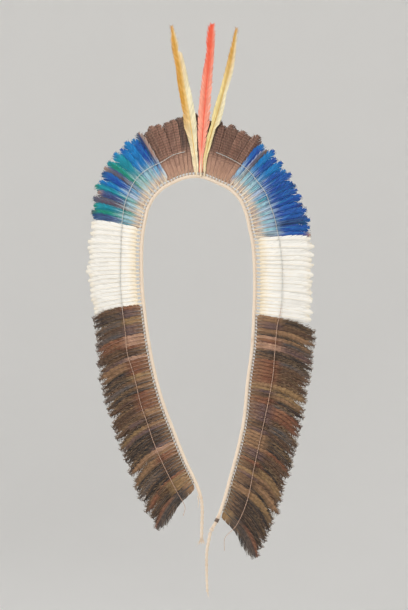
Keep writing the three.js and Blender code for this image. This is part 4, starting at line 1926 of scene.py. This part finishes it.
@dataclass
class CordEnds:
    """The free ends of the cord: two ties, a frayed tuft and a loose strand."""

    finishes: Finishes

    def build(self) -> List[bpy.types.Object]:
        left_route = Route(TIE_LEFT_ROUTE)
        right_route = Route(TIE_RIGHT_ROUTE)
        tuft = self.tuft(left_route)
        strand = self.strand()
        wisps = self.frayed_tip(right_route)
        left = self.tie("tie_left_cord", left_route, (3.0, 2.9), "tie_left")
        right = self.tie("tie_right_cord", right_route, (2.9, 2.3), "tie_right")
        [tuple(p) for p in left_route.spaced(3 * MM)]
        [tuple(p) for p in right_route.spaced(3 * MM)]
        return [left, right, tuft, strand, wisps]

    def tie(
        self, name: str, route: Route, radii: Tuple[float, float], node: str
    ) -> bpy.types.Object:
        """Builds one two-ply tie.

        Args:
            name: The piece's name.
            route: Its centreline.
            radii: Its radius at the top and at the end.
            node: The node that it stands for.

        Returns:
            The finished piece.
        """
        mould = Mould()
        line = route.spaced(0.8 * MM)
        radius = np.linspace(radii[0], radii[1], len(line)) * MM

        def relief(walked: Array, angle: Array) -> Array:
            """The two plies of the twist."""
            ply = np.cos(2 * angle - walked / MM * 2 * math.pi / 9.0)
            return 0.93 + 0.12 * ply

        add_tube(mould, line, radius, 20, Hue.COTTON.value, 0.6, 0, relief)
        piece = mould.cast(name, [self.finishes.twist])
        return placed(smoothed(piece, 60), "cord", node)

    def frayed_tip(self, route: Route) -> bpy.types.Object:
        """Builds the few fibres that stand out of the right tie's end."""
        mould = Mould()
        self.fibres(mould, route.line[-1], (0.55, 0.0, -0.8), 9, (5.0, 11.0), 1.5)
        piece = mould.cast("tie_right_fray", [self.finishes.twist])
        return placed(smoothed(piece, 60), "cord")

    @staticmethod
    def fibres(
        mould: Mould,
        foot: Array,
        heading: Tuple[float, float, float],
        count: int,
        length: Tuple[float, float],
        spread: float,
    ) -> None:
        """Adds loose cotton fibres that curve out of a cord's end.

        Args:
            mould: What they are added to.
            foot: Where they start.
            heading: The way they go.
            count: How many there are.
            length: The least and the greatest length.
            spread: How far apart they start.
        """
        dice = np.random.default_rng(count)
        t = np.linspace(0, 1, 6)[:, None]
        for _ in range(count):
            aim = np.array(heading) + dice.normal(0, 0.22, 3)
            start = foot + dice.normal(0, 0.35, 3) * spread * MM - np.array(heading) * MM
            long = dice.uniform(*length)
            sag = np.array([0.3 * dice.normal(), 0.0, -0.25]) * long * t**2
            line = start + (aim * long * t + sag) * MM
            radius = np.linspace(0.3, 0.1, 6) * MM
            add_tube(mould, line, radius, 5, Hue.COTTON.value, dice.uniform())

    def tuft(self, route: Route) -> bpy.types.Object:
        """Builds the frayed end of the left tie, fibre by fibre."""
        dice = np.random.default_rng(7)
        mould = Mould()
        foot = route.at(route.length)[0]
        for i in range(44):
            around = 2 * math.pi * dice.uniform()
            out = math.sqrt(dice.uniform(0, 1))
            direction = np.array([math.cos(around), math.sin(around), 0.0])
            t = np.linspace(0, 1, 7)[:, None]
            spread = 2.0 * out + 4.2 * out * t**1.4
            length = dice.uniform(9.5, 13.5)
            wave = 0.5 * np.sin(t * 5 + dice.uniform(0, 6)) * t
            line = foot + (direction * spread + np.array([wave.mean(), 0, 0])) * MM
            line = line + np.array([0, 0, -1.0]) * (t * length - 2.0) * MM
            line[:, 0] += (wave[:, 0] * 0.8) * MM
            radius = np.linspace(0.42, 0.12, 7) * MM
            add_tube(mould, line, radius, 5, Hue.COTTON.value, dice.uniform())
        side = foot + np.array([-2.0, 0.0, -6.0]) * MM
        self.fibres(mould, side, (-0.9, 0.0, -0.3), 8, (4.0, 9.0), 1.5)
        piece = mould.cast("tie_left_fray", [self.finishes.twist])
        return placed(smoothed(piece, 60), "cord", "tie_left_tuft")

    def strand(self) -> bpy.types.Object:
        """Builds the loose strand beside the left tie."""
        mould = Mould()
        line = Route(STRAND_ROUTE).spaced(0.8 * MM)
        radius = np.linspace(0.95, 0.35, len(line)) * MM
        add_tube(mould, line, radius, 10, Hue.COTTON.value, 0.8)
        piece = mould.cast("loose_strand_yarn", [self.finishes.twist])
        return placed(smoothed(piece, 60), "cord", "loose_strand")


@dataclass
class CordFastenings:
    """The dark whipping near the right end of the loop and the knot that closes it.

    Attributes:
        finishes: The materials.
        whipping_back: How far before the loop's end the whipping's middle is.
        turns: The number of turns of the whipping.
        knot_ahead: How far past the loop's end the knot's middle is.
        knot_size: The knot's outer radius and half length.
        yarn: The radius of the knot's yarn.
    """

    finishes: Finishes
    whipping_back: float = 15.0
    turns: float = 7.0
    knot_ahead: float = 3.8
    knot_size: Tuple[float, float] = (4.2, 3.5)
    yarn: float = 1.55

    def build(self) -> List[bpy.types.Object]:
        """Builds the whipping and the knot."""
        return [self.whipping(), self.knot()]

    def whipping(self) -> bpy.types.Object:
        """Builds the whipping, turn by turn."""
        mould = Mould()
        pitch, thick, rise = 0.95, 0.5, 3.35
        turn = np.linspace(0, self.turns, round(self.turns * 20) + 1)
        reach = LOOP.length - (self.whipping_back + (turn - self.turns / 2) * pitch) * MM
        middle = LOOP.at(reach)
        along = LOOP.heading(reach)
        outwards = np.stack([-along[:, 2], 0 * reach, along[:, 0]], axis=1)
        angle = (2 * math.pi * turn)[:, None]
        line = middle + outwards * np.cos(angle) * rise * MM
        line[:, 1] += np.sin(angle[:, 0]) * rise * MM
        add_tube(mould, line, thick * MM, 6, Hue.DARK_THREAD.value, 0.9)
        piece = mould.cast("whipping_thread", [self.finishes.thread])
        return placed(smoothed(piece, 60), "thread", "cord_whipping")

    def knot(self) -> bpy.types.Object:
        """Builds the knot as one yarn that passes round itself three times."""
        mould = Mould()
        across, along = (size - self.yarn for size in self.knot_size)
        phase = np.linspace(0, 2 * math.pi * 1.01, 110)
        wide = across / 3 * (2 + np.cos(3 * phase))
        ahead = LOOP.heading(LOOP.length)[0]
        outwards = np.array([-ahead[2], 0.0, ahead[0]])
        middle = LOOP.at(LOOP.length)[0] + ahead * self.knot_ahead * MM
        parts = (
            (outwards, wide * np.cos(2 * phase)),
            (np.array([0.0, 1.0, 0.0]), wide * np.sin(2 * phase)),
            (ahead, along * np.sin(3 * phase)),
        )
        line = middle + sum(axis[None, :] * size[:, None] * MM for axis, size in parts)

        def relief(walked: Array, angle: Array) -> Array:
            """The plies of the yarn."""
            return 0.95 + 0.07 * np.cos(2 * angle - walked / MM * 2 * math.pi / 7.0)

        add_tube(mould, line, self.yarn * MM, 12, Hue.COTTON.value, 0.35, 0, relief)
        piece = mould.cast("closing_knot", [self.finishes.twist])
        return placed(smoothed(piece, 60), "cord", "cord_knot")


# --------------------------------------------------------------------------- stage


@dataclass
class Studio:
    """A pale bowl of a backdrop, soft lights and the camera.

    Attributes:
        floor: The height of the floor under the crown.
        radius: The radius of the flat floor.
        distance: How far the camera stands from the headdress.
        centre: The middle of the view, as x and z.
        view_height: The height of the view at the headdress.
    """

    floor: float = -1.75
    radius: float = 5.0
    distance: float = 4.0
    centre: Tuple[float, float] = (0.01225, -0.22225)
    view_height: float = 1.0675
    sensor: float = 36.0

    def camera(self) -> None:
        """Sets up the camera, level and square on."""
        data = bpy.data.cameras.new("camera")
        data.sensor_width = self.sensor
        data.lens = self.sensor * self.distance / self.view_height
        camera = bpy.data.objects.new("camera", data)
        camera.location = (self.centre[0], -self.distance, self.centre[1])
        camera.rotation_euler = (math.radians(90), 0, 0)
        bpy.context.scene.collection.objects.link(camera)
        bpy.context.scene.camera = camera

    def backdrop(self) -> None:
        """Builds the floor and the wall that rises round it in one sweep."""
        bpy.ops.object.select_all(action="DESELECT")
        bpy.ops.mesh.primitive_circle_add(
            vertices=96, radius=self.radius, fill_type="NGON", location=(0, 0, self.floor)
        )
        bowl = bpy.context.view_layer.objects.active
        bowl.name = "studio_bowl"
        bpy.ops.object.mode_set(mode="EDIT")
        bpy.ops.mesh.select_all(action="SELECT")
        bpy.ops.mesh.select_mode(type="EDGE")
        bpy.ops.mesh.region_to_loop()
        sweep = 3.0
        steps = 12
        reach = self.radius
        for i in range(steps):
            a, b = (math.pi / 2 * k / steps for k in (i, i + 1))
            grown = reach + sweep * (math.sin(b) - math.sin(a))
            rise = sweep * (math.cos(a) - math.cos(b))
            bpy.ops.mesh.extrude_edges_move(TRANSFORM_OT_translate={"value": (0, 0, rise)})
            scale = grown / reach
            centre = (0, 0, self.floor)
            bpy.ops.transform.resize(value=(scale, scale, 1), center_override=centre)
            reach = grown
        bpy.ops.mesh.extrude_edges_move(TRANSFORM_OT_translate={"value": (0, 0, 7.0)})
        bpy.ops.mesh.select_all(action="SELECT")
        bpy.ops.mesh.normals_make_consistent(inside=True)
        bpy.ops.object.mode_set(mode="OBJECT")
        bpy.ops.object.transform_apply(location=True, rotation=True, scale=True)
        bpy.ops.object.shade_smooth()
        bowl.data.materials.append(BackdropFinish().make())

    def light(
        self,
        name: str,
        place: Tuple[float, float, float],
        size: float,
        power: float,
        colour: Colour = (1.0, 1.0, 1.0),
    ) -> None:
        """Adds one soft box that looks at the headdress.

        Args:
            name: The light's name.
            place: Where it stands.
            size: The length of its side.
            power: Its power in watts.
            colour: Its colour.
        """
        data = bpy.data.lights.new(name, "AREA")
        data.shape = "SQUARE"
        data.size = size
        data.energy = power
        data.color = colour
        lamp = bpy.data.objects.new(name, data)
        lamp.location = place
        aim = Vector((0, 0, -0.2)) - Vector(place)
        lamp.rotation_euler = aim.to_track_quat("-Z", "Y").to_euler()
        lamp.visible_camera = False
        bpy.context.scene.collection.objects.link(lamp)

    def build(self) -> None:
        """Sets up the backdrop, the lights and the way colours are shown."""
        self.backdrop()
        self.light("key_light", (-2.2, -3.0, 3.0), 1.8, 138)
        self.light("fill_light", (3.0, -3.4, 0.2), 2.6, 40)
        self.light("back_light_left", (-2.8, 3.4, 1.6), 2.4, 90)
        self.light("back_light_right", (2.6, 3.6, 0.8), 2.4, 60)
        self.light("top_light", (0, 0.2, 3.6), 2.6, 60)
        world = bpy.data.worlds.new("studio_air")
        world.use_nodes = True
        world.node_tree.nodes["Background"].inputs["Color"].default_value = (1, 1, 1, 1)
        world.node_tree.nodes["Background"].inputs["Strength"].default_value = 0.3
        bpy.context.scene.world = world
        bpy.context.scene.view_settings.view_transform = "Standard"


def main() -> None:
    """Builds the headdress, piece by piece, in its studio."""
    logging.basicConfig(level=logging.INFO, format="%(name)s %(message)s")
    studio = Studio()
    studio.camera()
    finishes = Finishes()
    CordEnds(finishes).build()
    BaseCord(finishes).build()
    fringe = FeatherFringe(finishes)
    fringe.build()
    TallFeathers(finishes).build()
    BindingThreads(finishes).build(fringe.spines)
    CordFastenings(finishes).build()
    studio.build()


if __name__ == "__main__":
    main()
